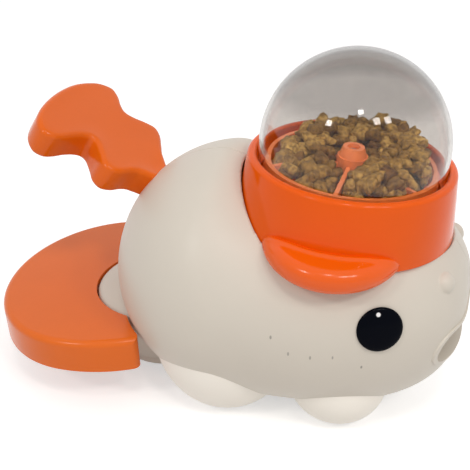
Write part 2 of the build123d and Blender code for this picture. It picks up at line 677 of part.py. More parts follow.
def tail():
    """Thick wavy plate with rounded edges and a tongue inside the body."""
    plate = extrude(tail_outline(), TAIL_T, dir=(0, 0, -1))
    plate = fillet(plate.edges().filter_by(GeomType.BSPLINE).filter_by_position(Axis.Z, -TAIL_T, -TAIL_T)
                   + plate.edges().filter_by(GeomType.BSPLINE).filter_by_position(Axis.Z, 0, 0), TAIL_ROUND)
    return tail_plane().location * (plate + tail_tab(0) - tail_screw_form())


def tail_bracket():
    """Channel inside the body that the tail's tab stands in."""
    end = -TAIL_TAB - BRACKET_T
    channel = block(end, 8, -BRACKET_HALF_W, BRACKET_HALF_W, -TAIL_T - 2, 2)
    channel -= block(-TAIL_TAB, 9, -BRACKET_HALF_W + 2.5, BRACKET_HALF_W - 2.5, -TAIL_T - 3, 3)
    return (tail_plane().location * (channel - tail_screw_form())) & FITTED


def tail_screw_form():
    """Screw along the tail, in the tail's own frame."""
    seat = -TAIL_TAB - BRACKET_T
    head = Pos(seat - SCREW_HEAD_H / 2, 0, 0) * Rot(0, 90, 0) * Cylinder(SCREW_HEAD_R, SCREW_HEAD_H)
    shank = Pos(seat + 5, 0, 0) * Rot(0, 90, 0) * Cylinder(SCREW_R, 10)
    return Pos(0, 0, -TAIL_T / 2) * (head + shank)


def tail_screw():
    """Screw that holds the tail on its bracket."""
    return tail_plane().location * tail_screw_form()


def ear(side):
    """Thick drooping flap with round edges on the collar, side -1 for the right ear."""
    droop = radians(EAR_DROOP)
    lean = radians(LEAN)
    plane = Plane(origin=(EAR_X, side * EAR_Y, EAR_Z), x_dir=(cos(lean), 0, -sin(lean)),
                  z_dir=(sin(lean) * cos(droop), side * sin(droop), cos(lean) * cos(droop)))
    flap = Pos(0, 0, -EAR_T / 2) * extrude(Ellipse(EAR_HALF_L, EAR_HALF_W), EAR_T)
    flap = fillet(flap.edges().filter_by(GeomType.ELLIPSE), EAR_ROUND)
    inside = collar_cone(top=30) + rod(COLLAR_FOOT_R, -2 * COLLAR_H, -COLLAR_H)
    return plane.location * flap - in_ring(inside) - OUTSIDE


def foot(place, side):
    """Long round pad, flat below, that bulges out of the body."""
    (x, y), sizes = place
    pad = Pos(x, side * y, sizes[2] - FOOT_SINK) * scale(Sphere(1), by=sizes)
    pad -= block(-MAX_SIZE, MAX_SIZE, -MAX_SIZE, MAX_SIZE, -MAX_SIZE, 0)
    return pad - OUTSIDE - housing_form(-FIT)


def outward(x, z, side):
    """Direction out of the body at a place on its side."""
    step = 0.5
    y = body_y(x, z)
    slope_x = (body_y(x + step, z) - body_y(x - step, z)) / (2 * step)
    slope_z = (body_y(x, z + step) - body_y(x, z - step)) / (2 * step)
    return Plane(origin=(x, side * y, z), z_dir=(-slope_x, side, -slope_z))


def eye(side):
    """Black domed button on the side of the head."""
    lens = scale(Sphere(1), by=(EYE_R, EYE_R, EYE_DOME))
    return outward(EYE_X, EYE_Z, side).location * lens - OUTSIDE


def nostril(side):
    """Small bump at the front."""
    x = body_x(NOSTRIL_Y, NOSTRIL_Z)
    depth = NOSTRIL_SINK / sqrt(3)
    return Pos(x - depth, side * (NOSTRIL_Y - depth), NOSTRIL_Z - depth) * Sphere(NOSTRIL_R)


def base_plate():
    """Flat plate that closes the belly."""
    return FITTED & block(-MAX_SIZE, MAX_SIZE, -MAX_SIZE, MAX_SIZE, BELLY_Z, BELLY_Z + BASE_T)


def body_shell():
    """Both halves in one: wall, deck and every opening."""
    shell = OUTSIDE - INSIDE
    under = -COLLAR_H - DECK_T
    room = COLLAR_GAP + BODY_WALL
    well = collar_cone(room) + rod(COLLAR_FOOT_R + room, under, -COLLAR_H)
    shell += in_ring(well - rod(DECK_R, under - 1, -COLLAR_H)) & OUTSIDE
    shell -= in_ring(collar_cone(COLLAR_GAP, top=60))
    shell -= block(-MAX_SIZE, MAX_SIZE, -MAX_SIZE, MAX_SIZE, -MAX_SIZE, BELLY_Z)
    shell -= mouth_slot(0, LIP_BACK_X - 20, MAX_SIZE / 2)
    shell -= housing_form(BODY_WALL)
    slot = block(-5, 15, -TAIL_ROOT_HALF_W, TAIL_ROOT_HALF_W, -TAIL_T - FIT, FIT)
    shell -= tail_plane().location * (slot + tail_tab(FIT))
    shell -= CHUTE_ROOM
    for x, y in collar_screw_places():
        hole = Pos(x, y, 0) * rod(SCREW_R, -COLLAR_H - DECK_T - 1, -COLLAR_H + 1)
        shell -= in_ring(hole)
    return shell


def body_half(shell, side):
    """One half with its nostril, screw bosses and hinge boss; side -1 is the right half."""
    y0, y1 = sorted((0, side * MAX_SIZE))
    room = block(-MAX_SIZE, MAX_SIZE, y0, y1, -MAX_SIZE, MAX_SIZE)
    half = shell & room
    half += nostril(side) - INSIDE
    for x, z in BODY_BOSSES:
        half += bar_y(BOSS_R, x, z, 0, side * RUMP_HALF_W) & OUTSIDE
    half += bar_y(HINGE_BOSS_R, NOTCH_X, HINGE_Z, side * (HINGE_TUBE_HALF + FIT), side * RUMP_HALF_W) & OUTSIDE
    half -= bar_y(AXLE_R, NOTCH_X, HINGE_Z, 0, side * AXLE_HALF)
    for x, z in BODY_BOSSES:
        if side > 0:
            half -= bar_y(SCREW_HEAD_R + 0.2, x, z, BODY_SCREW_SEAT_Y, RUMP_HALF_W + 1)
            half -= bar_y(SCREW_R, x, z, -1, BODY_SCREW_SEAT_Y + 1)
        else:
            half -= bar_y(SCREW_R, x, z, BODY_SCREW_END_Y - FIT, 1)
    return half


def body_screws():
    """Screws from the left half into the right half."""
    screws = []
    for x, z in BODY_BOSSES:
        head = bar_y(SCREW_HEAD_R, x, z, BODY_SCREW_SEAT_Y, BODY_SCREW_SEAT_Y + SCREW_HEAD_H)
        screws.append(head + bar_y(SCREW_R, x, z, BODY_SCREW_END_Y, BODY_SCREW_SEAT_Y))
    return Compound(screws)


def main():
    """Write every piece to its own file."""
    os.makedirs("parts", exist_ok=True)
    shell = body_shell()
    pieces = {
        "body_shell_right": body_half(shell, -1),
        "body_shell_left": body_half(shell, 1),
        "base_plate": base_plate(),
        "rear_housing": rear_housing(),
        "collar": collar(),
        "dome": dome(),
        "bowl": bowl(),
        "shaft_bush": shaft_bush(),
        "food_rotor": food_rotor(),
        "hub_cap": hub_cap(),
        "hub_screw": hub_screw(),
        "drive_pinion": drive_pinion(),
        "gear_bridge": gear_bridge(),
        "rack_slider": rack_slider(),
        "rack_guide": rack_guide(),
        "pedal": pedal(),
        "pedal_arm": pedal_arm(),
        "pedal_screws": pedal_screws(),
        "pedal_axle": pedal_axle(),
        "lever_pin": lever_pin(),
        "return_spring": return_spring(),
        "spring_seat": spring_seat(),
        "chute": chute(),
        "mouth_lip": mouth_lip(),
        "tail": tail(),
        "tail_bracket": tail_bracket(),
        "tail_screw": tail_screw(),
        "collar_screws": collar_screws(),
        "body_screws": body_screws(),
    }
    for side, name in ((-1, "right"), (1, "left")):
        pieces["ear_" + name] = ear(side)
        pieces["eye_" + name] = eye(side)
        for place in FEET:
            pieces["foot_" + place + "_" + name] = foot(FEET[place], side)
    for name, shape in pieces.items():
        export_step(shape, "parts/" + name + ".step")
    print(len(pieces), "nodes, stroke", round(STROKE, 3), "pitch radius", round(PITCH_R, 3))


CHUTE_ROOM = chute_loft(CHUTE_WALL + FIT)
main()
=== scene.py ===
# %% [markdown]
# # A paw-worked food dispenser
#
# The real thing is a hollow plastic animal that stands on the floor. A dog presses the orange pedal
# behind it, and dry food drops out of its mouth. This lesson dresses the exact CAD model of it for a
# photograph. The CAD nodes carry the sizes and the motion, and the pieces made here carry the looks.

# %% Load the frame
import bpy
import bmesh
import numpy as np
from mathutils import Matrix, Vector


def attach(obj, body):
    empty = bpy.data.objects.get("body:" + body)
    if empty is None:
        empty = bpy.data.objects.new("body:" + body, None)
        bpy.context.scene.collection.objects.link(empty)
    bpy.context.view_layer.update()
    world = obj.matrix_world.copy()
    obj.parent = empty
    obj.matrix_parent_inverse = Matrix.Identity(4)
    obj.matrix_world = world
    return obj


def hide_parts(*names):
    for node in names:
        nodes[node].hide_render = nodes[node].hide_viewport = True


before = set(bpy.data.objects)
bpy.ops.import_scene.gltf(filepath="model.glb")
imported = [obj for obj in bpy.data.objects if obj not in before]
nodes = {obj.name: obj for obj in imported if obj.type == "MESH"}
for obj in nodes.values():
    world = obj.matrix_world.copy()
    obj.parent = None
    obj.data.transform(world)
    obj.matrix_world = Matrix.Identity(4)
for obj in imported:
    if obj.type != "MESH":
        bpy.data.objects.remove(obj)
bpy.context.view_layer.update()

# %% [markdown]
# ## Camera
#
# The photograph was taken from the right front, about half a metre away and well above the object.
# A Track To constraint could aim the camera. A turn worked out from the direction of view does the
# same and leaves nothing in the scene that could move. The optical axis didn't pass through the middle
# of the picture, so the lens is shifted a little.

# %% Camera
AZIMUTH, ELEVATION = np.radians(18.0), np.radians(31.5)
LOOK_AT, DISTANCE = (0.0077, 0.0, 0.070), 0.536
FOCAL_LENGTH, SENSOR_WIDTH, NEAREST = 61.58, 36.0, 0.01
SHIFT_X, SHIFT_Y = -0.0032, 0.0851


def hang(name, data, place, direction):
    """Put a camera or a lamp at a place and turn its own -Z, along which it looks, to a direction."""
    thing = bpy.data.objects.new(name, data)
    bpy.context.scene.collection.objects.link(thing)
    thing.location = place
    thing.rotation_mode = "QUATERNION"
    thing.rotation_quaternion = direction.to_track_quat("-Z", "Y")
    return thing


lens = bpy.data.cameras.new("camera")
lens.lens = FOCAL_LENGTH
lens.sensor_width = SENSOR_WIDTH
lens.shift_x = SHIFT_X
lens.shift_y = SHIFT_Y
lens.clip_start = NEAREST
along_floor = np.cos(ELEVATION)
away = Vector((np.sin(AZIMUTH) * along_floor, -np.cos(AZIMUTH) * along_floor, np.sin(ELEVATION)))
camera = hang("camera", lens, Vector(LOOK_AT) + away * DISTANCE, -away)
bpy.context.scene.camera = camera
print("camera at", [round(v, 3) for v in camera.location])

# %% [markdown]
# ## Surfaces from formulas
#
# The real pieces are mouldings with smooth curves and even walls. They could be modelled from a cube
# with Subdivision Surface, but a formula hits the CAD model's sizes exactly. So every new piece starts
# as a grid of points that a formula gives all at once. The helpers turn such a grid into a mesh, merge
# the points that meet at a pole or a seam, so that the surface is closed, and turn its faces outwards.

# %% From a grid of points to a mesh
MM = 0.001
SAME_POINT, SLIVER = 1e-5, 1e-7


def finish_mesh(name, raw, crease=40):
    """Drop loose points, merge those closer than a hundredth of a millimetre, turn the faces out and
    shade smoothly, apart from edges that bend by more than the crease angle in degrees."""
    bm = bmesh.new()
    bm.from_mesh(raw)
    bpy.data.meshes.remove(raw)
    bmesh.ops.delete(bm, geom=[v for v in bm.verts if not v.link_faces], context="VERTS")
    bmesh.ops.remove_doubles(bm, verts=bm.verts, dist=SAME_POINT)
    bmesh.ops.dissolve_degenerate(bm, edges=bm.edges, dist=SLIVER)
    bmesh.ops.recalc_face_normals(bm, faces=bm.faces)
    mesh = bpy.data.meshes.new(name)
    bm.to_mesh(mesh)
    bm.free()
    mesh.polygons.foreach_set("use_smooth", np.ones(len(mesh.polygons), dtype=bool))
    mesh.set_sharp_from_angle(angle=np.radians(crease))
    piece = bpy.data.objects.new(name, mesh)
    bpy.context.scene.collection.objects.link(piece)
    return piece


def grid_faces(rows, columns, wrap=False):
    """Corner numbers of each cell in a grid of points; wrap joins the last column to the first."""
    number = np.arange(rows * columns).reshape(rows, columns)
    if wrap:
        number = np.concatenate([number, number[:, :1]], axis=1)
    corners = [number[:-1, :-1], number[:-1, 1:], number[1:, 1:], number[1:, :-1]]
    return np.stack(corners, axis=-1).reshape(-1, 4)


def surface(name, points, wrap=False, hidden=None, crease=40):
    """A mesh whose vertices are a grid of points in millimetres. A cell with a hidden corner is left
    out, but where only one corner is hidden, the other three still make a triangle."""
    faces = grid_faces(*points.shape[:2], wrap)
    if hidden is not None:
        lost = hidden.ravel()[faces]
        single = lost.sum(axis=1) == 1
        first = np.argmax(lost[single], axis=1)[:, None]
        triangles = np.take_along_axis(faces[single], (first + [1, 2, 3]) % 4, axis=1)
        faces = faces[~lost.any(axis=1)].tolist() + triangles.tolist()
    raw = bpy.data.meshes.new(name)
    raw.from_pydata(points.reshape(-1, 3) * MM, [], faces)
    return finish_mesh(name, raw, crease)


# %% [markdown]
# ## Openings and walls
#
# The shell has openings for the collar, the mouth and the screwdriver, and the ears and feet end where
# they meet the body. A Boolean modifier could cut all these, but it leaves slivers on a curved wall,
# which catch the light. Here the grid gives way instead: its points beside an edge slide onto it, and
# the cells inside are left out. Solidify then makes the wall.

# %% Holes with clean edges, and walls
def open_hole(points, depth, on_edge, hidden):
    """Open a hole in a grid of points. depth is how far outside the hole each point lies, negative
    inside. Wherever a grid line crosses the edge, the nearer of its two points moves onto the edge.
    The points change in place, and the new mask of hidden points comes back."""
    move = np.zeros(depth.shape, dtype=bool)
    before, after, every = slice(None, -1), slice(1, None), slice(None)
    for first, second in (((before, every), (after, every)), ((every, before), (every, after))):
        crosses = depth[first] * depth[second] < 0
        nearer = np.abs(depth[first]) < np.abs(depth[second])
        move[first] |= crosses & nearer
        move[second] |= crosses & ~nearer
    points[move] = on_edge[move]
    return hidden | ((depth < 0) & ~move)


def none_hidden(points):
    """A mask of a grid of points on which nothing is hidden yet."""
    return np.zeros(points.shape[:2], dtype=bool)


def closed(points):
    """The grid with its first column again behind the last, so that its rings meet."""
    return np.concatenate([points, points[:, :1]], axis=1)


def give_wall(piece, thickness):
    """Thicken a surface inwards, by a thickness in millimetres."""
    wall = piece.modifiers.new("wall", "SOLIDIFY")
    wall.thickness = thickness * MM
    wall.offset = -1


# %% [markdown]
# ## Shader groups
#
# All the plastic here is moulded, and moulded plastic is never one flat colour. It has a faint cloudy
# tone, a fine grain that breaks up the gloss, and small marks. Pictures could paint these on, but they
# need UV maps and show seams, so noise textures do it. Each effect is built once as a node group, and
# each material places it with its own values.

# %% Helpers for nodes
def node_group(name, inputs, outputs):
    """An empty shader group, and its sockets as seen from inside: what is given and what results.
    Each input is (name, socket type, default), and each output is (name, socket type)."""
    group = bpy.data.node_groups.new(name, "ShaderNodeTree")
    for label, kind, value in inputs:
        socket = group.interface.new_socket(label, in_out="INPUT", socket_type="NodeSocket" + kind)
        if value is not None:
            socket.default_value = value
    for label, kind in outputs:
        group.interface.new_socket(label, in_out="OUTPUT", socket_type="NodeSocket" + kind)
    start, end = group.nodes.new("NodeGroupInput"), group.nodes.new("NodeGroupOutput")
    return group, start.outputs, end.inputs


def add(tree, kind, values=None, **settings):
    """Add a shader node. The settings are its own properties, and the values go into its sockets,
    each by name or number."""
    node = tree.nodes.new("ShaderNode" + kind)
    for label, setting in settings.items():
        setattr(node, label, setting)
    for label, value in (values or {}).items():
        node.inputs[label].default_value = value
    return node


def wire(tree, *pairs):
    """Link an output socket to an input socket, for each pair."""
    for start, end in pairs:
        tree.links.new(start, end)


# %% [markdown]
# ### Cloudy tone
#
# A colour that drifts between a lighter and a darker shade over a few centimetres, plus a finer
# mottling, is what a camera sees on a big smooth moulding. The sum of two noises gives that. It is
# centred on zero, so that the amount changes the contrast and leaves the mean colour alone.

# %% Cloudy tone group
NOISE_MIDDLE = 0.5
FINER, FINE_SHARE = 14.0, 0.3
tone_group, given, result = node_group(
    "cloudy_tone",
    [("Vector", "Vector", None), ("Color", "Color", (0.8, 0.8, 0.8, 1)), ("Size", "Float", 40.0),
     ("Amount", "Float", 0.06)],
    [("Color", "Color"), ("Value", "Float")])
broad = add(tone_group, "TexNoise", {"Detail": 3.0})
fine = add(tone_group, "TexNoise", {"Detail": 2.0})
fine_scale = add(tone_group, "Math", {1: FINER}, operation="MULTIPLY")
clouds = add(tone_group, "Math", {1: FINE_SHARE}, operation="MULTIPLY_ADD")
centred = add(tone_group, "Math", {1: NOISE_MIDDLE * (1 + FINE_SHARE)}, operation="SUBTRACT")
drift = add(tone_group, "Math", operation="MULTIPLY")
factor = add(tone_group, "Math", {1: 1.0}, operation="ADD")
tinted = add(tone_group, "VectorMath", operation="SCALE")
wire(tone_group,
     (given["Vector"], broad.inputs["Vector"]),
     (given["Vector"], fine.inputs["Vector"]),
     (given["Size"], broad.inputs["Scale"]),
     (given["Size"], fine_scale.inputs[0]),
     (fine_scale.outputs[0], fine.inputs["Scale"]),
     (fine.outputs["Fac"], clouds.inputs[0]),
     (broad.outputs["Fac"], clouds.inputs[2]),
     (clouds.outputs[0], centred.inputs[0]),
     (centred.outputs[0], drift.inputs[0]),
     (given["Amount"], drift.inputs[1]),
     (drift.outputs[0], factor.inputs[0]),
     (given["Color"], tinted.inputs[0]),
     (factor.outputs[0], tinted.inputs["Scale"]),
     (tinted.outputs[0], result["Color"]),
     (clouds.outputs[0], result["Value"]))
print(tone_group.name, len(tone_group.nodes), "nodes")

# %% [markdown]
# ### Moulded grain
#
# A mould is eroded or polished, and its fine pits print into the plastic. Modelling them would take
# millions of faces, so a fine noise gives a height for the Bump node. A slower noise makes the
# roughness wander round a middle value, as it does where hands have been.

# %% Moulded grain group
SMEAR_SCALE = 55.0
grain_group, given, result = node_group(
    "moulded_grain",
    [("Vector", "Vector", None), ("Scale", "Float", 900.0), ("Depth", "Float", 0.05),
     ("Roughness", "Float", 0.4), ("Spread", "Float", 0.1)],
    [("Roughness", "Float"), ("Height", "Float")])
pits = add(grain_group, "TexNoise", {"Detail": 2.0})
smears = add(grain_group, "TexNoise", {"Scale": SMEAR_SCALE, "Detail": 4.0})
pit_height = add(grain_group, "Math", operation="MULTIPLY")
about_zero = add(grain_group, "Math", {1: NOISE_MIDDLE}, operation="SUBTRACT")
wander = add(grain_group, "Math", operation="MULTIPLY_ADD")
wire(grain_group,
     (given["Vector"], pits.inputs["Vector"]),
     (given["Scale"], pits.inputs["Scale"]),
     (given["Vector"], smears.inputs["Vector"]),
     (pits.outputs["Fac"], pit_height.inputs[0]),
     (given["Depth"], pit_height.inputs[1]),
     (smears.outputs["Fac"], about_zero.inputs[0]),
     (about_zero.outputs[0], wander.inputs[0]),
     (given["Spread"], wander.inputs[1]),
     (given["Roughness"], wander.inputs[2]),
     (pit_height.outputs[0], result["Height"]),
     (wander.outputs[0], result["Roughness"]))
print(grain_group.name, len(grain_group.nodes), "nodes")

# %% [markdown]
# ### Small marks
#
# The cheek has a row of short dark dashes, and each eye has a white dot, which is a painted highlight
# standing in for a lamp's glint on the glossy black. Both are colour and not geometry: the dashes lie
# flush with the surface, and the dot is painted. A mark is a soft spot at a known place: 1 in its core,
# fading to 0 at its radius. Reach stretches it along X, Y or Z, so that one group makes both.

# %% Small mark group
CORE_SHARE = 0.6
mark_group, given, result = node_group(
    "small_mark",
    [("Vector", "Vector", None), ("Centre", "Vector", (0.0, 0.0, 0.0)),
     ("Reach", "Vector", (1.0, 1.0, 1.0)), ("Radius", "Float", 0.001)],
    [("Mask", "Float")])
offset = add(mark_group, "VectorMath", operation="SUBTRACT")
squeezed = add(mark_group, "VectorMath", operation="DIVIDE")
distance = add(mark_group, "VectorMath", operation="LENGTH")
core = add(mark_group, "Math", {1: CORE_SHARE}, operation="MULTIPLY")
fade = add(mark_group, "MapRange", {"To Min": 1.0, "To Max": 0.0}, interpolation_type="SMOOTHSTEP")
wire(mark_group,
     (given["Vector"], offset.inputs[0]),
     (given["Centre"], offset.inputs[1]),
     (offset.outputs[0], squeezed.inputs[0]),
     (given["Reach"], squeezed.inputs[1]),
     (squeezed.outputs[0], distance.inputs[0]),
     (given["Radius"], core.inputs[0]),
     (distance.outputs["Value"], fade.inputs["Value"]),
     (core.outputs[0], fade.inputs["From Min"]),
     (given["Radius"], fade.inputs["From Max"]),
     (fade.outputs["Result"], result["Mask"]))
print(mark_group.name, len(mark_group.nodes), "nodes")

# %% [markdown]
# ## Materials
#
# Nine plastics cover most of the object: two whites for the body and the feet, five oranges, an
# unpainted grey for what is inside, and the black of the eyes. The oranges look alike at first, but
# the photograph shows each piece with its own gloss, so each has its own values. One helper makes them
# all with tone and grain, read from Object coordinates, which need no UV map. Values that are the same
# all over go straight onto the Principled shader's sockets.

# %% Moulded plastic
GRAIN_SCALE, GRAIN_BUMP = 900.0, 0.0002
DASH_COLOR, HIGHLIGHT_DOT_COLOR = (0.1, 0.09, 0.08, 1), (0.9, 0.9, 0.9, 1)


def new_material(name, **constants):
    """A material with its node tree and its Principled shader. Each constant is named as its socket
    is, with underscores for spaces."""
    material = bpy.data.materials.new(name)
    material.use_nodes = True
    shader = material.node_tree.nodes["Principled BSDF"]
    for label, value in constants.items():
        shader.inputs[label.replace("_", " ")].default_value = value
    return material, material.node_tree, shader


def color_sockets(sockets):
    """Those sockets of a Mix node that carry a colour."""
    return [socket for socket in sockets if socket.type == "RGBA"]


def plastic(name, color, amount=0.06, size=40.0, roughness=0.4, spread=0.1, depth=0.05,
            marks=(), mark_color=DASH_COLOR, **constants):
    """A Principled material whose colour, roughness and normal come from the shared groups. A mark is
    (centre, radius, reach upwards, strength), in millimetres."""
    material, tree, shader = new_material(name, **constants)
    where = add(tree, "TexCoord").outputs["Object"]
    tone = add(tree, "Group", {"Color": (*color, 1), "Size": size, "Amount": amount},
               node_tree=tone_group)
    grain_values = {"Scale": GRAIN_SCALE, "Depth": depth, "Roughness": roughness, "Spread": spread}
    grain = add(tree, "Group", grain_values, node_tree=grain_group)
    relief = add(tree, "Bump", {"Distance": GRAIN_BUMP})
    wire(tree,
         (where, tone.inputs["Vector"]),
         (where, grain.inputs["Vector"]),
         (grain.outputs["Height"], relief.inputs["Height"]),
         (relief.outputs["Normal"], shader.inputs["Normal"]),
         (grain.outputs["Roughness"], shader.inputs["Roughness"]))
    painted = tone.outputs["Color"]
    for centre, radius, reach, strength in marks:
        spot = {"Centre": [v * MM for v in centre], "Radius": radius * MM, "Reach": (1, 1, reach)}
        mark = add(tree, "Group", spot, node_tree=mark_group)
        cover = add(tree, "Math", {1: strength}, operation="MULTIPLY")
        blend = add(tree, "Mix", data_type="RGBA")
        under, over = color_sockets(blend.inputs)
        over.default_value = mark_color
        wire(tree,
             (where, mark.inputs["Vector"]),
             (mark.outputs["Mask"], cover.inputs[0]),
             (cover.outputs[0], blend.inputs["Factor"]),
             (painted, under))
        painted = color_sockets(blend.outputs)[0]
    wire(tree, (painted, shader.inputs["Base Color"]))
    return material


# %% Whites, grey and black
DASHES = [((54.7, -83.6, 86.8), 0.9, 2.0, 0.55), ((64.8, -82.4, 76.6), 0.8, 2.4, 0.5),
          ((77.0, -80.1, 75.0), 0.8, 2.4, 0.5), ((89.2, -77.3, 75.8), 0.8, 2.4, 0.5),
          ((104.9, -71.1, 68.3), 0.9, 2.0, 0.6)]
# Each eye's white dot is a painted highlight, a lamp's glint painted onto the black.
EYE_HIGHLIGHT_DOTS = [((110.8, side * 67.9, 103.7), 1.5, 1.0, 1.0) for side in (-1, 1)]
white = plastic("warm_white_shell", (0.675, 0.617, 0.536), amount=0.05, size=22.0, roughness=0.42,
                spread=0.12, marks=DASHES, IOR=1.45)
foot_white = plastic("bright_white_foot", (0.97, 0.915, 0.83), amount=0.04, roughness=0.42)
unpainted = plastic("unpainted_moulding", (0.58, 0.56, 0.51), roughness=0.5)
# The black's own reflection is kept low, and the painted highlight dot stands in for its glint.
black = plastic("black_button", (0.0016, 0.0022, 0.005), amount=0.2, roughness=0.14, spread=0.05,
                depth=0.01, marks=EYE_HIGHLIGHT_DOTS, mark_color=HIGHLIGHT_DOT_COLOR, Specular_IOR_Level=0.03)
print("made", [material.name for material in (white, foot_white, unpainted, black)])

# %% Oranges
orange = plastic("orange_moulding", (0.84, 0.105, 0.001), amount=0.08, size=30.0, roughness=0.13,
                 spread=0.08, depth=0.02, Specular_IOR_Level=0.18)
ear_orange = plastic("orange_ear", (0.86, 0.112, 0.001), size=30.0, roughness=0.19, spread=0.05,
                     depth=0.01, Specular_IOR_Level=0.36)
rotor_orange = plastic("orange_rotor", (0.92, 0.25, 0.07), amount=0.08, size=30.0, roughness=0.26,
                       Specular_IOR_Level=0.4)
pedal_orange = plastic("orange_pedal", (0.77, 0.145, 0.010), amount=0.10, size=26.0, roughness=0.22,
                       spread=0.08, depth=0.03, Specular_IOR_Level=0.27)
tail_orange = plastic("orange_tail", (0.77, 0.128, 0.004), amount=0.10, size=26.0, roughness=0.20,
                      spread=0.08, depth=0.03, Specular_IOR_Level=0.24)
oranges = (orange, ear_orange, rotor_orange, pedal_orange, tail_orange)
print("made", [material.name for material in oranges])

# %% [markdown]
# ## Body
#
# The shell is half a squashed ball behind and a blunt superellipse in front, with a saddle on top. It
# could be sculpted, but as a formula it agrees with the CAD model: an angle runs from the rump to the
# nose and sets the length and the size of the cross-section, and a second angle runs round the
# cross-section.

# %% Body formula
RUMP_X, BODY_Z, RUMP_R, HALF_W = 12.0, 81.0, 80.0, 85.5
NOSE_LEN, NOSE_W, NOSE_TOP, NOSE_BOTTOM, POWER = 144.3, 73.0, 62.0, 82.0, 2.9
SADDLE, SADDLE_START, SADDLE_DEEPEST, SADDLE_END = 0.17, -2.0, 42.0, 96.0


def ease(x, start, end):
    """A smooth step: three times the square of the share, less twice its cube."""
    share = np.clip((x - start) / (end - start), 0, 1)
    return share**2 * (3 - 2 * share)


def body_sizes(x):
    """Half width, top and bottom reach of the cross-section at a place along the body. Behind, it
    shrinks like a circle, in front like a superellipse, and the saddle takes a share off the top."""
    back = np.clip((x - RUMP_X) / RUMP_R, -1, 0)
    share = np.clip((x - RUMP_X) / NOSE_LEN, 0, 1)
    keep = np.where(x < RUMP_X, np.sqrt(1 - back**2), (1 - share**POWER)**(1 / POWER))
    wide = (HALF_W + (NOSE_W - HALF_W) * share**2) * keep
    top = (RUMP_R + (NOSE_TOP - RUMP_R) * share**2) * keep
    bottom = (RUMP_R + (NOSE_BOTTOM - RUMP_R) * share**2) * keep
    dip = SADDLE * (ease(x, SADDLE_START, SADDLE_DEEPEST) - ease(x, SADDLE_DEEPEST, SADDLE_END))
    return wide, top * (1 - dip), bottom


def body_points(along, around):
    """Points of the near half. The place along the body is the sine of the first angle, in front to
    the power two over POWER. Across is the cosine and up the sine of the second angle."""
    nose = NOSE_LEN * np.abs(np.sin(along))**(2 / POWER)
    x = RUMP_X + np.where(along < 0, RUMP_R * np.sin(along), nose)[:, None]
    wide, top, bottom = body_sizes(x)
    lift = np.where(np.sin(around) > 0, top, bottom) * np.sin(around)
    return np.stack(np.broadcast_arrays(x, -wide * np.cos(around), BODY_Z + lift), axis=-1)


print("the body is", RUMP_R + NOSE_LEN, "mm long and", 2 * HALF_W, "mm wide")

# %% [markdown]
# ## The bowl's leaning frame
#
# The bowl leans forward a little, and the collar and dome lean with it. Turning these objects would
# break the rule that a finished piece sits unturned at the origin. So their points are worked out in a
# frame of their own, whose origin is the middle of the collar's rim, and then carried over.

# %% The leaning frame and the collar's cone
LEAN = np.radians(3.8)
U_DIR = np.array([np.cos(LEAN), 0, -np.sin(LEAN)])
V_DIR = np.array([0.0, 1.0, 0.0])
W_DIR = np.array([np.sin(LEAN), 0, np.cos(LEAN)])
RIM = np.array([78.7, 0.0, 164.2])
COLLAR_R, COLLAR_H, FLARE = 61.0, 39.0, 0.13


def from_bowl(points):
    """Points given along, across and above the bowl's rim, moved into the object's own frame."""
    return RIM + points[..., :1] * U_DIR + points[..., 1:2] * V_DIR + points[..., 2:3] * W_DIR


def to_bowl(points):
    """The way back: how far along, across and above the rim each point lies, and how far from the
    bowl's axis."""
    gap = points - RIM
    ring = np.stack([gap @ U_DIR, gap @ V_DIR, gap @ W_DIR], axis=-1)
    return ring, np.hypot(ring[..., 0], ring[..., 1])


print("the bowl leans", round(np.degrees(LEAN), 1), "degrees")

# %% [markdown]
# ## The two shell halves
#
# The real shell is two mouldings that meet at a parting line along the back. One surface with a
# painted line would do from afar, but a groove catches the light, so there are two pieces whose edges
# sink a little. The nostril is a ball that pushes the surface out. The screws are driven in from the
# left, so only that half has their holes.

# %% Openings of the shell
COLLAR_GAP, COLLAR_SINK = 0.9, 0.4
MOUTH_HALF_W, MOUTH_Z, MOUTH_R, SNOUT_X = 33.0, 68.0, 12.6, 125.0
SCREW_HOLES = [(20.0, 22.0), (110.0, 30.0), (-55.0, 86.0), (-8.0, 142.0)]
SCREW_HOLE_R, FLANK_Y = 3.2, -12.0
ELSEWHERE, TINY = 99.0, 0.01


def open_for_collar(points, hidden):
    """Cut away what is inside the collar's cone, whose radius grows with the depth below the rim, and
    above its foot. An edge point goes onto the cone or down to the foot, whichever it is nearer."""
    ring, radius = to_bowl(points)
    edge = COLLAR_R + COLLAR_GAP - FLARE * ring[..., 2]
    foot = COLLAR_SINK - COLLAR_H
    beside, below = radius - edge, foot - ring[..., 2]
    moved = ring.copy()
    moved[..., :2] *= np.where(beside > below, edge / radius, 1)[..., None]
    moved[..., 2] = np.where(beside > below, ring[..., 2], foot)
    return open_hole(points, np.maximum(beside, below), from_bowl(moved), hidden)


def open_for_mouth(points, hidden):
    """Cut a slot with round ends out of the snout: what is nearer than its radius to a level line."""
    aside = np.maximum(np.abs(points[..., 1]) - MOUTH_HALF_W, 0)
    reach = np.maximum(np.hypot(aside, points[..., 2] - MOUTH_Z), TINY)
    moved = points.copy()
    moved[..., 1] -= aside * (MOUTH_R / reach - 1)
    moved[..., 2] = MOUTH_Z + (points[..., 2] - MOUTH_Z) * MOUTH_R / reach
    depth = np.where(points[..., 0] > SNOUT_X, reach - MOUTH_R, ELSEWHERE)
    return open_hole(points, depth, moved, hidden)


def open_for_screw(points, hidden, middle):
    """Cut a round hole into the flank, about a middle given along and up."""
    way = points[..., ::2] - np.array(middle)
    reach = np.maximum(np.linalg.norm(way, axis=-1), TINY)
    moved = points.copy()
    moved[..., ::2] = np.array(middle) + way * (SCREW_HOLE_R / reach)[..., None]
    depth = np.where(points[..., 1] < FLANK_Y, reach - SCREW_HOLE_R, ELSEWHERE)
    return open_hole(points, depth, moved, hidden)


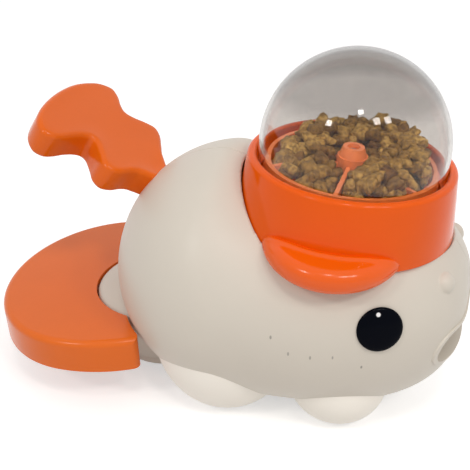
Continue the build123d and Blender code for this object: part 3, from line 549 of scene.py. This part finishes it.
# %% The halves
SHELL_WALL, BELLY_Z, GROOVE = 2.2, 4.8, 0.6
NOSTRIL, NOSTRIL_R = np.array([140.6, -31.0, 107.9]), 7.0
SHELL_ROWS, SHELL_COLUMNS, SEAM_STEP, SEAM_BAND = 170, 150, 0.007, 0.013
QUARTER = np.pi / 2


def shell_half(side):
    """The body's surface on one side. In front the first angle is the share to the power POWER over
    two, which spaces the rows evenly, and behind every second row will do. The columns at each seam
    stand close, so that the groove stays narrow. The belly is cut level."""
    share = np.linspace(0, 1, SHELL_ROWS)
    along = np.concatenate([-QUARTER * share[::-1][:-1:2], QUARTER * share**(POWER / 2)])
    between = np.linspace(-1, 1, SHELL_COLUMNS) * (QUARTER - SEAM_BAND)
    around = np.concatenate([[-QUARTER, -QUARTER + SEAM_STEP], between, [QUARTER - SEAM_STEP, QUARTER]])
    points = body_points(along, around)
    for seam in (0, -1):
        pull = points[:, seam] - np.array([RUMP_X, 0, BODY_Z])
        points[:, seam] -= GROOVE * pull / np.maximum(np.linalg.norm(pull, axis=-1, keepdims=True), 1)
    way = points - NOSTRIL
    gap = np.linalg.norm(way, axis=-1, keepdims=True)
    points = points + way / gap * np.maximum(NOSTRIL_R - gap, 0)
    points[..., 2] = np.maximum(points[..., 2], BELLY_Z)
    hidden = open_for_collar(points, none_hidden(points))
    hidden = open_for_mouth(points, hidden)
    for middle in SCREW_HOLES if side > 0 else ():
        hidden = open_for_screw(points, hidden, middle)
    points[..., 1] *= -side
    name = "shell_right" if side < 0 else "shell_left"
    piece = surface(name, points, hidden=hidden, crease=50)
    piece.data.materials.append(white)
    give_wall(piece, SHELL_WALL)
    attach(piece, "base")
    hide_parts("body_" + name)
    return piece


for side in (-1, 1):
    half = shell_half(side)
    print(half.name, len(half.data.polygons), "faces")

# %% [markdown]
# ## Turned pieces
#
# The collar and the dome are turned: a profile is carried round the bowl's axis. The Screw modifier
# does that too, but round an object's own axis, and this one leans. A sharp corner never appears on a
# moulding, so the profile helper rounds each corner with an arc.

# %% Profiles and turning
def rounded(corners, arc_steps=6):
    """A closed outline from (x, y, radius) corners. Each arc starts and ends where a circle of that
    radius touches both sides: at the radius over the tangent of half the corner's angle."""
    corners = np.array(corners, dtype=float)
    outline = []
    for before, here, after in zip(np.roll(corners, 1, 0), corners, np.roll(corners, -1, 0)):
        corner, radius = here[:2], here[2]
        a = before[:2] - corner
        b = after[:2] - corner
        a /= np.linalg.norm(a)
        b /= np.linalg.norm(b)
        half = np.arccos(np.clip(a @ b, -1, 1)) / 2
        centre = corner + (a + b) / np.linalg.norm(a + b) * radius / np.sin(half)
        start = corner + a * radius / np.tan(half) - centre
        end = corner + b * radius / np.tan(half) - centre
        share = np.linspace(0, 1, arc_steps)[:, None]
        span = np.pi - 2 * half
        arc = (np.sin((1 - share) * span) * start + np.sin(share * span) * end) / np.sin(span)
        outline.append(centre + arc)
    return np.concatenate(outline)


def turned(name, outline, steps):
    """A profile carried round the bowl's axis: along is the radius times the cosine of the angle,
    across the radius times the sine, and the height stays."""
    angle = np.linspace(0, 2 * np.pi, steps, endpoint=False)
    radius = outline[:, :1]
    height = np.broadcast_to(outline[:, 1:], (len(outline), steps))
    points = np.stack([radius * np.cos(angle), radius * np.sin(angle), height], axis=-1)
    return surface(name, from_bowl(points), wrap=True)


# %% [markdown]
# ## Collar
#
# The collar is the flared orange ring that holds the bowl. Its rim is rounded, a shelf inside carries
# the dome, and a flange at the foot takes the screws. A plain cone with Solidify would have neither
# shelf nor flange, so the whole wall is one closed profile.

# %% Collar
RIM_IN_R, SHELF_R, SHELF_TOP, SHELF_BOTTOM = 56.0, 53.2, -9.0, -11.5
INSIDE_TOP_R, INSIDE_FOOT_R, FLANGE_R, FLANGE_TOP = 58.9, 62.2, 52.0, -36.0
OUTER_ROUND, INNER_ROUND, SHELF_ROUND, SMALL_ROUND, FOOT_ROUND = 2.6, 1.6, 0.3, 0.5, 0.6
collar_outline = rounded([
    (COLLAR_R + FLARE * COLLAR_H, -COLLAR_H, FOOT_ROUND), (COLLAR_R, 0, OUTER_ROUND),
    (RIM_IN_R, 0, INNER_ROUND), (RIM_IN_R, SHELF_TOP, SHELF_ROUND),
    (SHELF_R, SHELF_TOP, SHELF_ROUND), (SHELF_R, SHELF_BOTTOM, SMALL_ROUND),
    (INSIDE_TOP_R, SHELF_BOTTOM, SMALL_ROUND), (INSIDE_FOOT_R, FLANGE_TOP, SMALL_ROUND),
    (FLANGE_R, FLANGE_TOP, SMALL_ROUND), (FLANGE_R, -COLLAR_H, SMALL_ROUND)])
collar = turned("collar_ring", np.concatenate([collar_outline, collar_outline[:1]]), steps=192)
collar.data.materials.append(orange)
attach(collar, "base")
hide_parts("collar")
print("collar", len(collar.data.polygons), "faces")

# %% [markdown]
# ## Dome
#
# The dome is two millimetres of clear, slightly smoky plastic. A real wall with an outer and an inner
# surface bends the light at its edge as the photograph shows, which a single sheet can't do. The
# photograph has a greyer band over the upper third, so the tint is a little stronger up there, and
# also where the wall is seen edge on: both are painted darker reflections of the room, not a change in
# the plastic. Glass would stop the lamps' light, so for shadow rays alone the wall turns into a faintly
# tinted window, and the food inside gets its highlights and shadows.

# %% Clear plastic
SMOKE_COLOR, WINDOW_COLOR = (0.74, 0.71, 0.685, 1), (0.90, 0.88, 0.86, 1)
# The band and the rim are painted darker reflections of the room in the dome's tint.
DARK_BAND_LOW, DARK_BAND_HIGH, DARK_BAND_WAVE, DARK_BAND_PAINT = 0.205, 0.219, 0.016, 0.66
DARK_RIM_START, DARK_RIM_END, DARK_RIM_PAINT = 0.62, 0.98, 0.45


def painted_dark_ramp(tree, start, end, tint):
    """A factor for painted darker reflection, falling smoothly from 1 to a tint while its value goes from
    start to end.
    """
    span = {"From Min": start, "From Max": end, "To Min": 1.0, "To Max": tint}
    return add(tree, "MapRange", span, interpolation_type="SMOOTHSTEP")


def clear_plastic():
    """Clear plastic, whose colour is the smoke's, times the painted dark band's factor, times the painted
    dark rim's.
    """
    material, tree, shader = new_material("clear_dome", Transmission_Weight=1.0, IOR=1.33)
    where = add(tree, "TexCoord").outputs["Object"]
    smoke = add(tree, "Group", {"Color": SMOKE_COLOR, "Size": 12.0, "Amount": 0.22},
                node_tree=tone_group)
    haze = add(tree, "Group", {"Roughness": 0.02, "Spread": 0.05}, node_tree=grain_group)
    place = add(tree, "SeparateXYZ")
    wavy_height = add(tree, "Math", {1: DARK_BAND_WAVE}, operation="MULTIPLY_ADD")
    # Painted reflection: a darker band over the upper third, and a darker rim where the wall is seen edge
    # on.
    painted_dark_band = painted_dark_ramp(tree, DARK_BAND_LOW, DARK_BAND_HIGH, DARK_BAND_PAINT)
    facing = add(tree, "LayerWeight", {"Blend": 0.5})
    edge = painted_dark_ramp(tree, DARK_RIM_START, DARK_RIM_END, DARK_RIM_PAINT)
    both = add(tree, "Math", operation="MULTIPLY")
    tinted = add(tree, "VectorMath", operation="SCALE")
    paths = add(tree, "LightPath")
    window = add(tree, "BsdfTransparent", {"Color": WINDOW_COLOR})
    either = add(tree, "MixShader")
    wire(tree,
         (where, smoke.inputs["Vector"]),
         (where, haze.inputs["Vector"]),
         (where, place.inputs[0]),
         (smoke.outputs["Value"], wavy_height.inputs[0]),
         (place.outputs["Z"], wavy_height.inputs[2]),
         (wavy_height.outputs[0], painted_dark_band.inputs["Value"]),
         (facing.outputs["Facing"], edge.inputs["Value"]),
         (painted_dark_band.outputs["Result"], both.inputs[0]),
         (edge.outputs["Result"], both.inputs[1]),
         (smoke.outputs["Color"], tinted.inputs[0]),
         (both.outputs[0], tinted.inputs["Scale"]),
         (tinted.outputs[0], shader.inputs["Base Color"]),
         (haze.outputs["Roughness"], shader.inputs["Roughness"]),
         (paths.outputs["Is Shadow Ray"], either.inputs[0]),
         (shader.outputs[0], either.inputs[1]),
         (window.outputs[0], either.inputs[2]),
         (either.outputs[0], tree.nodes["Material Output"].inputs["Surface"]))
    return material


# %% Dome
DOME_R, DOME_WALL, DOME_RISE, DOME_FOOT = 55.2, 2.0, 7.5, -7.5
DOME_STEPS, LIP_STEPS = 60, 9


def dome_outline(radius, wall, rise, foot):
    """Outer arc down to the foot, a rounded lip and the inner arc back up to the pole."""
    down = np.linspace(QUARTER, 0, DOME_STEPS)
    outer = np.stack([radius * np.cos(down), rise + radius * np.sin(down)], axis=-1)
    turn = np.linspace(0, -np.pi, LIP_STEPS)
    half = wall / 2
    lip = np.stack([radius - half + half * np.cos(turn), foot + half + half * np.sin(turn)], axis=-1)
    up = down[::-1]
    inside = np.stack([(radius - wall) * np.cos(up), rise + (radius - wall) * np.sin(up)], axis=-1)
    return np.concatenate([outer, lip, inside])


dome = turned("dome_shell", dome_outline(DOME_R, DOME_WALL, DOME_RISE, DOME_FOOT), steps=160)
dome.data.materials.append(clear_plastic())
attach(dome, "dome")
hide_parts("dome")
print("dome", len(dome.data.polygons), "faces")

# %% [markdown]
# ## Ears
#
# Each ear is a thick round flap whose edges are fully rounded. It leans with the bowl and droops a
# little, its top is slightly dished and drops towards both ends, and the collar hides the rest of its
# ellipse. Where it meets the collar, a small bead catches the light. A squashed sphere would be too
# thin at the edge, so rings run over the top, round a half circle and back below.

# %% Ear formula
EAR_PLACE, EAR_DROOP = (78.5, 40.0, 130.3), np.radians(5.4)
EAR_R, EAR_ROUND, EAR_BAND, EAR_WIDER = 33.8, 6.5, 1.0, 4.4
EAR_DISH, EAR_DROP, DROP_START, DROP_END = 0.4, 3.2, 18.0, 41.0
BEAD_HEIGHT, BEAD_GAP, BEAD_WIDTH = 1.3, 1.2, 1.5
EAR_RINGS, EDGE_RINGS, EAR_STEPS, INNERMOST = 46, 15, 160, 0.03


def ear_points(side):
    """Rings from the middle of the top, round the edge and back to the middle below. On the faces the
    rings grow evenly, and round the edge they follow a half circle. The dish is one less the fourth
    power of the share, the bead is a bell beside the collar, and the drop is a smooth step."""
    share = np.linspace(INNERMOST, 1, EAR_RINGS)
    bend = np.linspace(QUARTER, -QUARTER, EDGE_RINGS + 2)[1:-1]
    half = EAR_ROUND + EAR_BAND
    out = np.concatenate([share * EAR_R, EAR_R + EAR_ROUND * np.cos(bend), share[::-1] * EAR_R])
    out = out[:, None]
    tall = np.concatenate([half - EAR_DISH * (1 - share**4),
                           EAR_BAND * np.sign(np.sin(bend)) + EAR_ROUND * np.sin(bend),
                           np.full(EAR_RINGS, -half)])[:, None]
    around = np.linspace(0, 2 * np.pi, EAR_STEPS, endpoint=False)
    upright = np.cos(EAR_DROOP)
    up = np.array([np.sin(LEAN) * upright, side * np.sin(EAR_DROOP), np.cos(LEAN) * upright])
    across = np.cross(up, U_DIR)
    along = out * np.cos(around)
    wide = (out + EAR_WIDER * np.minimum(out / EAR_R, 1)) * np.sin(around)
    place = np.array(EAR_PLACE) * (1, side, 1)
    points = place + along[..., None] * U_DIR + wide[..., None] * across
    ring, radius = to_bowl(points)
    from_collar = radius - COLLAR_R + FLARE * ring[..., 2]
    on_top = tall > 0
    bead = on_top * BEAD_HEIGHT * np.exp(-((from_collar - BEAD_GAP) / BEAD_WIDTH)**2)
    drop = on_top * EAR_DROP * ease(np.abs(along), DROP_START, DROP_END)
    return points + (tall + bead - drop)[..., None] * up


# %% Ears
EAR_WALL, EAR_SINK = 1.2, 1.5
for side, name in ((-1, "right"), (1, "left")):
    points = closed(ear_points(side))
    ring, radius = to_bowl(points)
    edge = COLLAR_R - EAR_SINK - FLARE * np.maximum(ring[..., 2], -COLLAR_H)
    moved = ring.copy()
    moved[..., :2] *= (edge / radius)[..., None]
    hidden = open_hole(points, radius - edge, from_bowl(moved), none_hidden(points))
    ear = surface("ear_flap_" + name, points, hidden=hidden, crease=60)
    ear.data.materials.append(ear_orange)
    give_wall(ear, EAR_WALL)
    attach(ear, "base")
    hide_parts("ear_" + name)
    print(ear.name, len(ear.data.polygons), "faces")

# %% [markdown]
# ## Feet
#
# Each of the four feet is a pad that bulges out of the belly, with a small flat below. A UV sphere
# could be scaled and pushed into the body, but much of it would then fill the hollow inside. So only
# the part of an ellipsoid outside the body is made, and its edge ends inside the shell's wall.

# %% Feet
FEET = {"rear": ((12.0, 39.5, 48.0), (45.0, 38.0, 49.6)),
        "front": ((85.6, 33.0, 29.4), (31.8, 29.3, 31.0))}
FOOT_WALL, IN_WALL = 1.8, 0.975
FOOT_ROWS, FOOT_STEPS = 90, 130


def ellipsoid(centre, sizes, rows, columns):
    """Half sizes times the cosine and sine of two angles, as on a globe."""
    around = np.linspace(0, 2 * np.pi, columns, endpoint=False)
    up = np.linspace(-QUARTER, QUARTER, rows)[:, None]
    unit = [np.cos(up) * np.cos(around), np.cos(up) * np.sin(around), np.sin(up)]
    return np.array(centre) + np.stack(np.broadcast_arrays(*unit), axis=-1) * np.array(sizes)


def foot_points(centre, sizes):
    """A foot's grid of points and its mask. A point's level is its distance from the body's middle as
    a share of the body's own size there, and the foot is cut where that share meets the wall."""
    points = closed(ellipsoid(centre, sizes, FOOT_ROWS, FOOT_STEPS))
    wide, top, bottom = body_sizes(points[..., 0])
    lift = points[..., 2] - BODY_Z
    level = np.hypot(points[..., 1] / wide, lift / np.where(lift > 0, top, bottom))
    level = np.maximum(level, TINY)
    moved = points.copy()
    moved[..., 1] *= IN_WALL / level
    moved[..., 2] = BODY_Z + lift * IN_WALL / level
    hidden = open_hole(points, level - IN_WALL, moved, none_hidden(points))
    points[..., 2] = np.maximum(points[..., 2], 0)
    return points, hidden


for place, (centre, sizes) in FEET.items():
    for side, name in ((-1, "right"), (1, "left")):
        points, hidden = foot_points(centre, sizes)
        points[..., 1] *= side
        pad = surface(f"pad_{place}_{name}", points, hidden=hidden, crease=60)
        pad.data.materials.append(foot_white)
        give_wall(pad, FOOT_WALL)
        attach(pad, "base")
        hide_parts(f"foot_{place}_{name}")
        print(pad.name, len(pad.data.polygons), "faces")

# %% [markdown]
# ## Tail
#
# The tail is a thick plate with a wavy outline. A Bezier curve with depth and a bevel could make it,
# but its faces would be flat, and these sink a little towards the middle. So a closed smooth curve
# through a few points gives the outline. Rings of that outline, drawn in by the rounding of the edge,
# make the rim, and the faces are closed towards the plate's middle line.

# %% Tail outline
WAVE = np.array([(-4, 7), (0, 13), (5.2, 19.1), (9.4, 26.3), (15.1, 35.3), (21.8, 39.4), (29.8, 36.7),
                 (36.7, 32.8), (42.6, 31.4), (47.7, 34.9), (53.8, 41.5), (61.2, 44.9), (69.4, 39.8),
                 (74.7, 30.8), (78.4, 19.4), (79.9, 7.1), (79.9, -6.1), (78.4, -19.3), (75.8, -29.6),
                 (71.5, -38.2), (64.5, -43.3), (57.8, -41.5), (53.8, -35.9), (50.3, -27.3),
                 (46.5, -20.7), (43, -17.6), (39, -18.6), (32.8, -24.4), (27.1, -30.4), (20.5, -31.8),
                 (14.8, -27.1), (11.2, -20), (7.9, -15.5), (4, -13), (-4, -7)], dtype=float)


def smooth_loop(points, steps):
    """A closed cubic through the points: between two of them, a blend of their places and slopes,
    each slope being half the step from the point before to the point after."""
    t = np.linspace(0, len(points), steps, endpoint=False)
    i = t.astype(int)
    f = (t - i)[:, None]
    before, here, after, beyond = [points[(i + k) % len(points)] for k in (-1, 0, 1, 2)]
    slope_here = (after - before) / 2
    slope_after = (beyond - here) / 2
    return ((2 * f**3 - 3 * f**2 + 1) * here + (f**3 - 2 * f**2 + f) * slope_here
            + (3 * f**2 - 2 * f**3) * after + (f**3 - f**2) * slope_after)


# %% Tail plate
TAIL_PLACE, TAIL_RISE = np.array([-44.3, 0, 139.5]), np.radians(34.0)
TAIL_ALONG = np.array([-np.cos(TAIL_RISE), 0, np.sin(TAIL_RISE)])
TAIL_UP = np.array([np.sin(TAIL_RISE), 0, np.cos(TAIL_RISE)])
TAIL_THICK, TAIL_ROUND, TAIL_DISH, TAIL_STEPS = 19.0, 3.2, 0.6, 280
SPINE_START, SPINE_END, FACE_RINGS, RIM_STEPS = 4, 66, 8, 8


def at_heights(rings, heights):
    """Flat rings, each lifted to its own height."""
    lift = np.broadcast_to(heights[:, None, None], rings.shape[:2] + (1,))
    return np.concatenate([rings, lift], axis=-1)


def plate_rings(outline):
    """Rings over one face, round the rim and over the other. The inset and the drop follow a quarter
    circle at each edge. Inside the rim the rings shrink to the middle line, and each sinks by the dish
    times one less the square of its share of the way to the rim."""
    run = np.roll(outline, -1, 0) - np.roll(outline, 1, 0)
    out = np.stack([run[:, 1], -run[:, 0]], axis=-1)
    out /= np.linalg.norm(out, axis=-1, keepdims=True)
    if (out * (outline - outline.mean(0))).sum() < 0:
        out = -out
    turn = np.linspace(0, QUARTER, RIM_STEPS)
    falling, rising = TAIL_ROUND * (1 - np.sin(turn)), TAIL_ROUND * (1 - np.cos(turn))
    edge = outline[None] - np.concatenate([falling, rising])[:, None, None] * out[None]
    rim = at_heights(edge, np.concatenate([-rising, falling - TAIL_THICK]))
    spine = np.stack([np.clip(edge[0, :, 0], SPINE_START, SPINE_END), 0 * edge[0, :, 1]], axis=-1)
    share = 1 - np.linspace(1, 0, FACE_RINGS + 1)[:-1]
    face = spine + (edge[0] - spine) * share[:, None, None]
    sunk = -TAIL_DISH * (1 - share**2)
    return np.concatenate([at_heights(face, sunk), rim, at_heights(face[::-1], -TAIL_THICK - sunk[::-1])])


rings = plate_rings(smooth_loop(WAVE, TAIL_STEPS))
tail_points = (TAIL_PLACE + rings[..., :1] * TAIL_ALONG + rings[..., 1:2] * V_DIR
               + rings[..., 2:3] * TAIL_UP)
tail = surface("tail_plate", tail_points, wrap=True)
tail.data.materials.append(tail_orange)
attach(tail, "base")
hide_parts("tail")
print("tail", len(tail.data.polygons), "faces")

# %% [markdown]
# ## CAD nodes that stay
#
# The pedal, the housing, the eyes, the rotor and the drive have their true shape already, with their
# edges rounded in the CAD model. Making them again would only risk a mistake, so they get a finish and
# nothing else. The screws, pins and the spring are bright steel.

# %% Dress the remaining CAD nodes
steel = plastic("bright_steel", (0.55, 0.55, 0.56), amount=0.1, roughness=0.28, depth=0.02, Metallic=1.0)
finishes = {white: ["rear_housing", "mouth_lip", "base_plate", "chute"],
            orange: ["bowl"],
            rotor_orange: ["food_rotor", "hub_cap"],
            pedal_orange: ["pedal"],
            black: ["eye_right", "eye_left"],
            unpainted: ["shaft_bush", "gear_bridge", "rack_slider", "rack_guide", "drive_pinion",
                        "pedal_arm", "tail_bracket", "spring_seat"],
            steel: ["hub_screw", "pedal_screws", "lever_pin", "pedal_axle", "return_spring",
                    "collar_screws", "body_screws", "tail_screw"]}
for material, names in finishes.items():
    for name in names:
        slots = nodes[name].data.materials
        for number in range(len(slots)):
            slots[number] = material
        if not len(slots):
            slots.append(material)
print("dressed", sum(len(names) for names in finishes.values()), "nodes")

# %% [markdown]
# ## Food
#
# The bowl is full of dry food. The bits are small stars and rounded triangles pressed from a coarse
# dough. Each is a little globe whose radius swells and shrinks round its middle, flattened and turned
# at random. A rigid body simulation could drop them, but it is slow and hard to repeat. A map of the
# heap's heights does it the same way each run: it drops one bit after another, so they pile up without
# floating.

# %% One bit of food
rng = np.random.default_rng(7)
BIT_STEPS, BIT_ROWS, LUMPS, ROUND_SIDE, FLAT_TOP = 12, 6, 0.05, 0.6, 0.8


def kibble(size, lobes, depth, thick):
    """A globe whose radius round the middle is 1 plus depth times the cosine of lobes times the angle,
    pressed flat, with a little noise."""
    around = np.linspace(0, 2 * np.pi, BIT_STEPS, endpoint=False)
    up = np.linspace(-QUARTER, QUARTER, BIT_ROWS)[:, None]
    radius = size * (1 + depth * np.cos(lobes * around)) * np.abs(np.cos(up))**ROUND_SIDE
    bump = 1 + LUMPS * rng.standard_normal(radius.shape)
    x = radius * bump * np.cos(around)
    y = radius * bump * np.sin(around)
    z = thick * np.sign(np.sin(up)) * np.abs(np.sin(up))**FLAT_TOP * np.ones_like(around)
    return np.stack(np.broadcast_arrays(x, y, z), axis=-1)


def random_turn(tilt):
    """A turn about the upright, then a lean of up to the given angle in a random direction."""
    spin, lean, way = rng.uniform(0, 2 * np.pi), rng.uniform(-tilt, tilt), rng.uniform(0, 2 * np.pi)
    c, s = np.cos(spin), np.sin(spin)
    about_z = np.array([[c, -s, 0], [s, c, 0], [0, 0, 1]])
    axis = np.array([np.cos(way), np.sin(way), 0])
    skew = np.array([[0, 0, axis[1]], [0, 0, -axis[0]], [-axis[1], axis[0], 0]])
    return (np.eye(3) + np.sin(lean) * skew + (1 - np.cos(lean)) * skew @ skew) @ about_z


# %% Shape of the heap
BARE_WAY, BARE_WIDTH, BARE_TOP, BARE_DEPTH = np.radians(266.0), 0.36, -11, 6.4
HUB_R, HUB_FADE, BOWL_R = 12, 10, 46
HEAP_PROFILE = ([10, 15, 22, 36, 47], [-7, -3, 7, 9, 3])
FRONT_SLOPE = ([-0.9, -0.45, -0.1], [-2, 0, 20])
BACK_U, BACK_V, BACK_RISE = 0.80, 0.60, 4.5


def bare(u, v):
    """1 along one direction from the hub, fading to 0 like a bell over about 20 degrees to each side."""
    apart = np.angle(np.exp(1j * (np.arctan2(v, u) - BARE_WAY)))
    return np.exp(-(apart / BARE_WIDTH)**2) * np.clip((np.hypot(u, v) - HUB_R) / HUB_FADE, 0, 1)


def highest(u, v):
    """How high a bit may lie at a place: a profile over the distance from the hub, higher at the back,
    cut by a slope at the front, and so low over one vane at the front left that the rotor shows."""
    back = (BACK_U * u + BACK_V * v) / BOWL_R
    top = min(np.interp(np.hypot(u, v), *HEAP_PROFILE) + BACK_RISE * back, np.interp(back, *FRONT_SLOPE))
    return top + (BARE_TOP - top) * bare(u, v)


# %% Heap the bits up
BIT_SIZES, BIT_FLATNESS, BIT_TILT, DROPS = (4.2, 5.8), (0.5, 0.7), 0.9, 900
BIT_KINDS = ((4, 0.26), (3, 0.22), (6, 0.16))
MAP_HALF, MAP_FLOOR, HEAP_R, HEAP_START = 50, -8.0, 46.8, 0.03
FOOTPRINT, LANDS_ON, SITS, FILLS = 0.8, 0.75, 0.45, 0.35


def heap(drops):
    """Drop bits on a height map. Each lands at the upper quartile of the heights under it and raises
    them, unless it would lie too high there."""
    grid = np.arange(-MAP_HALF, MAP_HALF + 1.0)
    gu, gv = np.meshgrid(grid, grid, indexing="ij")
    floor = MAP_FLOOR - BARE_DEPTH * bare(gu, gv)
    bits = []
    for _ in range(drops):
        size = rng.uniform(*BIT_SIZES)
        lobes, depth = BIT_KINDS[rng.integers(len(BIT_KINDS))]
        shape = kibble(size, lobes, depth, size * rng.uniform(*BIT_FLATNESS)) @ random_turn(BIT_TILT).T
        reach = np.sqrt(rng.uniform(HEAP_START, 1)) * (HEAP_R - size)
        angle = rng.uniform(0, 2 * np.pi)
        u, v = reach * np.cos(angle), reach * np.sin(angle)
        near = np.hypot(gu - u, gv - v) < size * FOOTPRINT
        high = np.quantile(floor[near], LANDS_ON) + size * SITS
        if high <= highest(u, v):
            floor[near] = np.maximum(floor[near], high + size * FILLS)
            bits.append((shape + np.array([u, v, high]), rng.uniform()))
    return bits


bits = heap(DROPS)
print(len(bits), "bits of food")

# %% [markdown]
# ## Food material
#
# Each bit was baked on its own, so some are darker than others, and a few are nearly red. That could
# be a material for every shade, but one is enough if it reads each bit's shade from an attribute of
# the mesh. A coarse noise darkens the pores and gives the crust its relief.

# %% Baked food
DARK_CRUST, MEDIUM_CRUST, LIGHT_CRUST, RED_CRUST = (
    (0.24, 0.115, 0.018, 1), (0.42, 0.24, 0.045, 1), (0.66, 0.42, 0.11, 1), (0.13, 0.025, 0.02, 1))
RED_UP_TO, DARK_FROM, MEDIUM_AT = 0.03, 0.06, 0.55
PORE_COLOR, PORE_START, PORE_END, PORE_SHARE = (0.30, 0.23, 0.14, 1), 0.36, 0.62, 0.85


def baked_food():
    """The shade's colour, multiplied by a grey from the crust's noise."""
    material, tree, shader = new_material("baked_food", IOR=1.4, Roughness=0.62)
    where = add(tree, "TexCoord").outputs["Object"]
    shade = add(tree, "Attribute", attribute_name="bit_shade")
    ramp = add(tree, "ValToRGB")
    ramp.color_ramp.elements[0].color = DARK_CRUST
    ramp.color_ramp.elements[1].color = LIGHT_CRUST
    for place, color in ((RED_UP_TO, RED_CRUST), (DARK_FROM, DARK_CRUST), (MEDIUM_AT, MEDIUM_CRUST)):
        ramp.color_ramp.elements.new(place).color = color
    crust = add(tree, "TexNoise", {"Scale": 420.0, "Detail": 6.0})
    grey = add(tree, "ValToRGB")
    grey.color_ramp.elements[0].position = PORE_START
    grey.color_ramp.elements[0].color = PORE_COLOR
    grey.color_ramp.elements[1].position = PORE_END
    pores = add(tree, "Mix", {"Factor": PORE_SHARE}, data_type="RGBA", blend_type="MULTIPLY")
    under, over = color_sockets(pores.inputs)
    relief = add(tree, "Bump", {"Distance": 0.0009, "Strength": 0.9})
    wire(tree,
         (where, crust.inputs["Vector"]),
         (shade.outputs["Fac"], ramp.inputs["Fac"]),
         (crust.outputs["Fac"], grey.inputs["Fac"]),
         (ramp.outputs["Color"], under),
         (grey.outputs["Color"], over),
         (color_sockets(pores.outputs)[0], shader.inputs["Base Color"]),
         (crust.outputs["Fac"], relief.inputs["Height"]),
         (relief.outputs["Normal"], shader.inputs["Normal"]))
    return material


# %% Join the bits in one mesh
per_bit = BIT_ROWS * BIT_STEPS
one = grid_faces(BIT_ROWS, BIT_STEPS, wrap=True)
all_faces = np.concatenate([one + number * per_bit for number in range(len(bits))])
all_points = np.concatenate([from_bowl(shape).reshape(-1, 3) for shape, _ in bits]) * MM
raw = bpy.data.meshes.new("food_heap")
raw.from_pydata(all_points, [], all_faces)
attribute = raw.attributes.new("bit_shade", "FLOAT", "POINT")
attribute.data.foreach_set("value", np.repeat([shade for _, shade in bits], per_bit))
food_heap = finish_mesh("food_heap", raw, crease=60)
food_heap.data.materials.append(baked_food())
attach(food_heap, "rotor")
print("food", len(food_heap.data.polygons), "faces")

# %% [markdown]
# ## World
#
# The photograph has a plain white background. Lamps bright enough to make it white would burn out the
# object, so the world is white to the camera, in reflections and through the dome alone. It lights the
# object at a plain level, more from above than from below.

# %% World
LIGHT_BELOW, LIGHT_ABOVE, LOWEST_Z = 0.30, 0.78, -0.3


def seen_rays(tree):
    """1 for camera rays, reflections and rays through the dome, and 0 for all others."""
    paths = add(tree, "LightPath")
    through = add(tree, "Math", operation="MAXIMUM")
    seen = add(tree, "Math", operation="MAXIMUM")
    wire(tree,
         (paths.outputs["Is Glossy Ray"], through.inputs[0]),
         (paths.outputs["Is Transmission Ray"], through.inputs[1]),
         (paths.outputs["Is Camera Ray"], seen.inputs[0]),
         (through.outputs[0], seen.inputs[1]))
    return seen.outputs[0]


world = bpy.data.worlds.new("studio")
bpy.context.scene.world = world
world.use_nodes = True
tree = world.node_tree
tree.nodes.clear()
seen = seen_rays(tree)
outwards = add(tree, "TexCoord")
parts = add(tree, "SeparateXYZ")
light = add(tree, "MapRange", {"From Min": LOWEST_Z, "From Max": 1.0, "To Min": LIGHT_BELOW,
                               "To Max": LIGHT_ABOVE})
strength = add(tree, "MapRange", {"To Max": 1.0})
sky = add(tree, "Background", {"Color": (1.0, 1.0, 1.0, 1)})
output = add(tree, "OutputWorld")
wire(tree,
     (outwards.outputs["Generated"], parts.inputs[0]),
     (parts.outputs["Z"], light.inputs["Value"]),
     (seen, strength.inputs["Value"]),
     (light.outputs["Result"], strength.inputs["To Min"]),
     (strength.outputs["Result"], sky.inputs["Strength"]),
     (sky.outputs[0], output.inputs["Surface"]))
print("world", world.name, len(tree.nodes), "nodes")

# %% [markdown]
# ## Floor
#
# The floor is a pale sheet that catches the object's shadow. Paint alone would look grey beside the
# white world. So it adds a glow of its own, for the rays that the world is white to: it is white in
# the open and keeps the shadow.

# %% Floor
FLOOR_COLOR, FLOOR_GLOW, FLOOR_SIZE, FLOOR_Z = (0.74, 0.73, 0.72, 1), 0.50, 6.0, -0.0002
floor_paint = bpy.data.materials.new("pale_floor")
floor_paint.use_nodes = True
tree = floor_paint.node_tree
tree.nodes.clear()
seen = seen_rays(tree)
amount = add(tree, "Math", {1: FLOOR_GLOW}, operation="MULTIPLY")
paint = add(tree, "BsdfDiffuse", {"Color": FLOOR_COLOR})
glow = add(tree, "Emission")
both = add(tree, "AddShader")
output = add(tree, "OutputMaterial")
wire(tree,
     (seen, amount.inputs[0]),
     (amount.outputs[0], glow.inputs["Strength"]),
     (paint.outputs[0], both.inputs[0]),
     (glow.outputs[0], both.inputs[1]),
     (both.outputs[0], output.inputs["Surface"]))
bpy.ops.mesh.primitive_plane_add(size=FLOOR_SIZE, location=(0, 0, FLOOR_Z))
floor = bpy.context.object
floor.name = "floor"
floor.data.materials.append(floor_paint)
print("floor", FLOOR_SIZE, "m wide")

# %% [markdown]
# ## Lamps
#
# The highlights on the real collar, ear and dome are small and sharp, as from lamps on a ceiling. A
# big soft box would smear them out, so four small square lamps stand in for that ceiling.

# %% Lamps
LAMP_COLOR, LAMP_TARGET = (1, 0.97, 0.93), (0.03, 0.0, 0.1)
CEILING = [((-0.62, -1.18, 1.30), 0.2, 4.2), ((0.80, -0.80, 1.30), 0.2, 3.0),
           ((1.09, -0.60, 1.30), 0.2, 2.8), ((0.28, -0.66, 1.30), 0.13, 1.7)]
for number, (place, size, power) in enumerate(CEILING, start=1):
    lamp = bpy.data.lights.new(f"ceiling_{number}", "AREA")
    lamp.shape = "SQUARE"
    lamp.size = size
    lamp.energy = power
    lamp.color = LAMP_COLOR
    hang(lamp.name, lamp, place, Vector(LAMP_TARGET) - Vector(place))

# %% [markdown]
# ## Finish
#
# The Standard view transform shows colours as they are written.

# %% Finish
bpy.context.scene.view_settings.view_transform = "Standard"
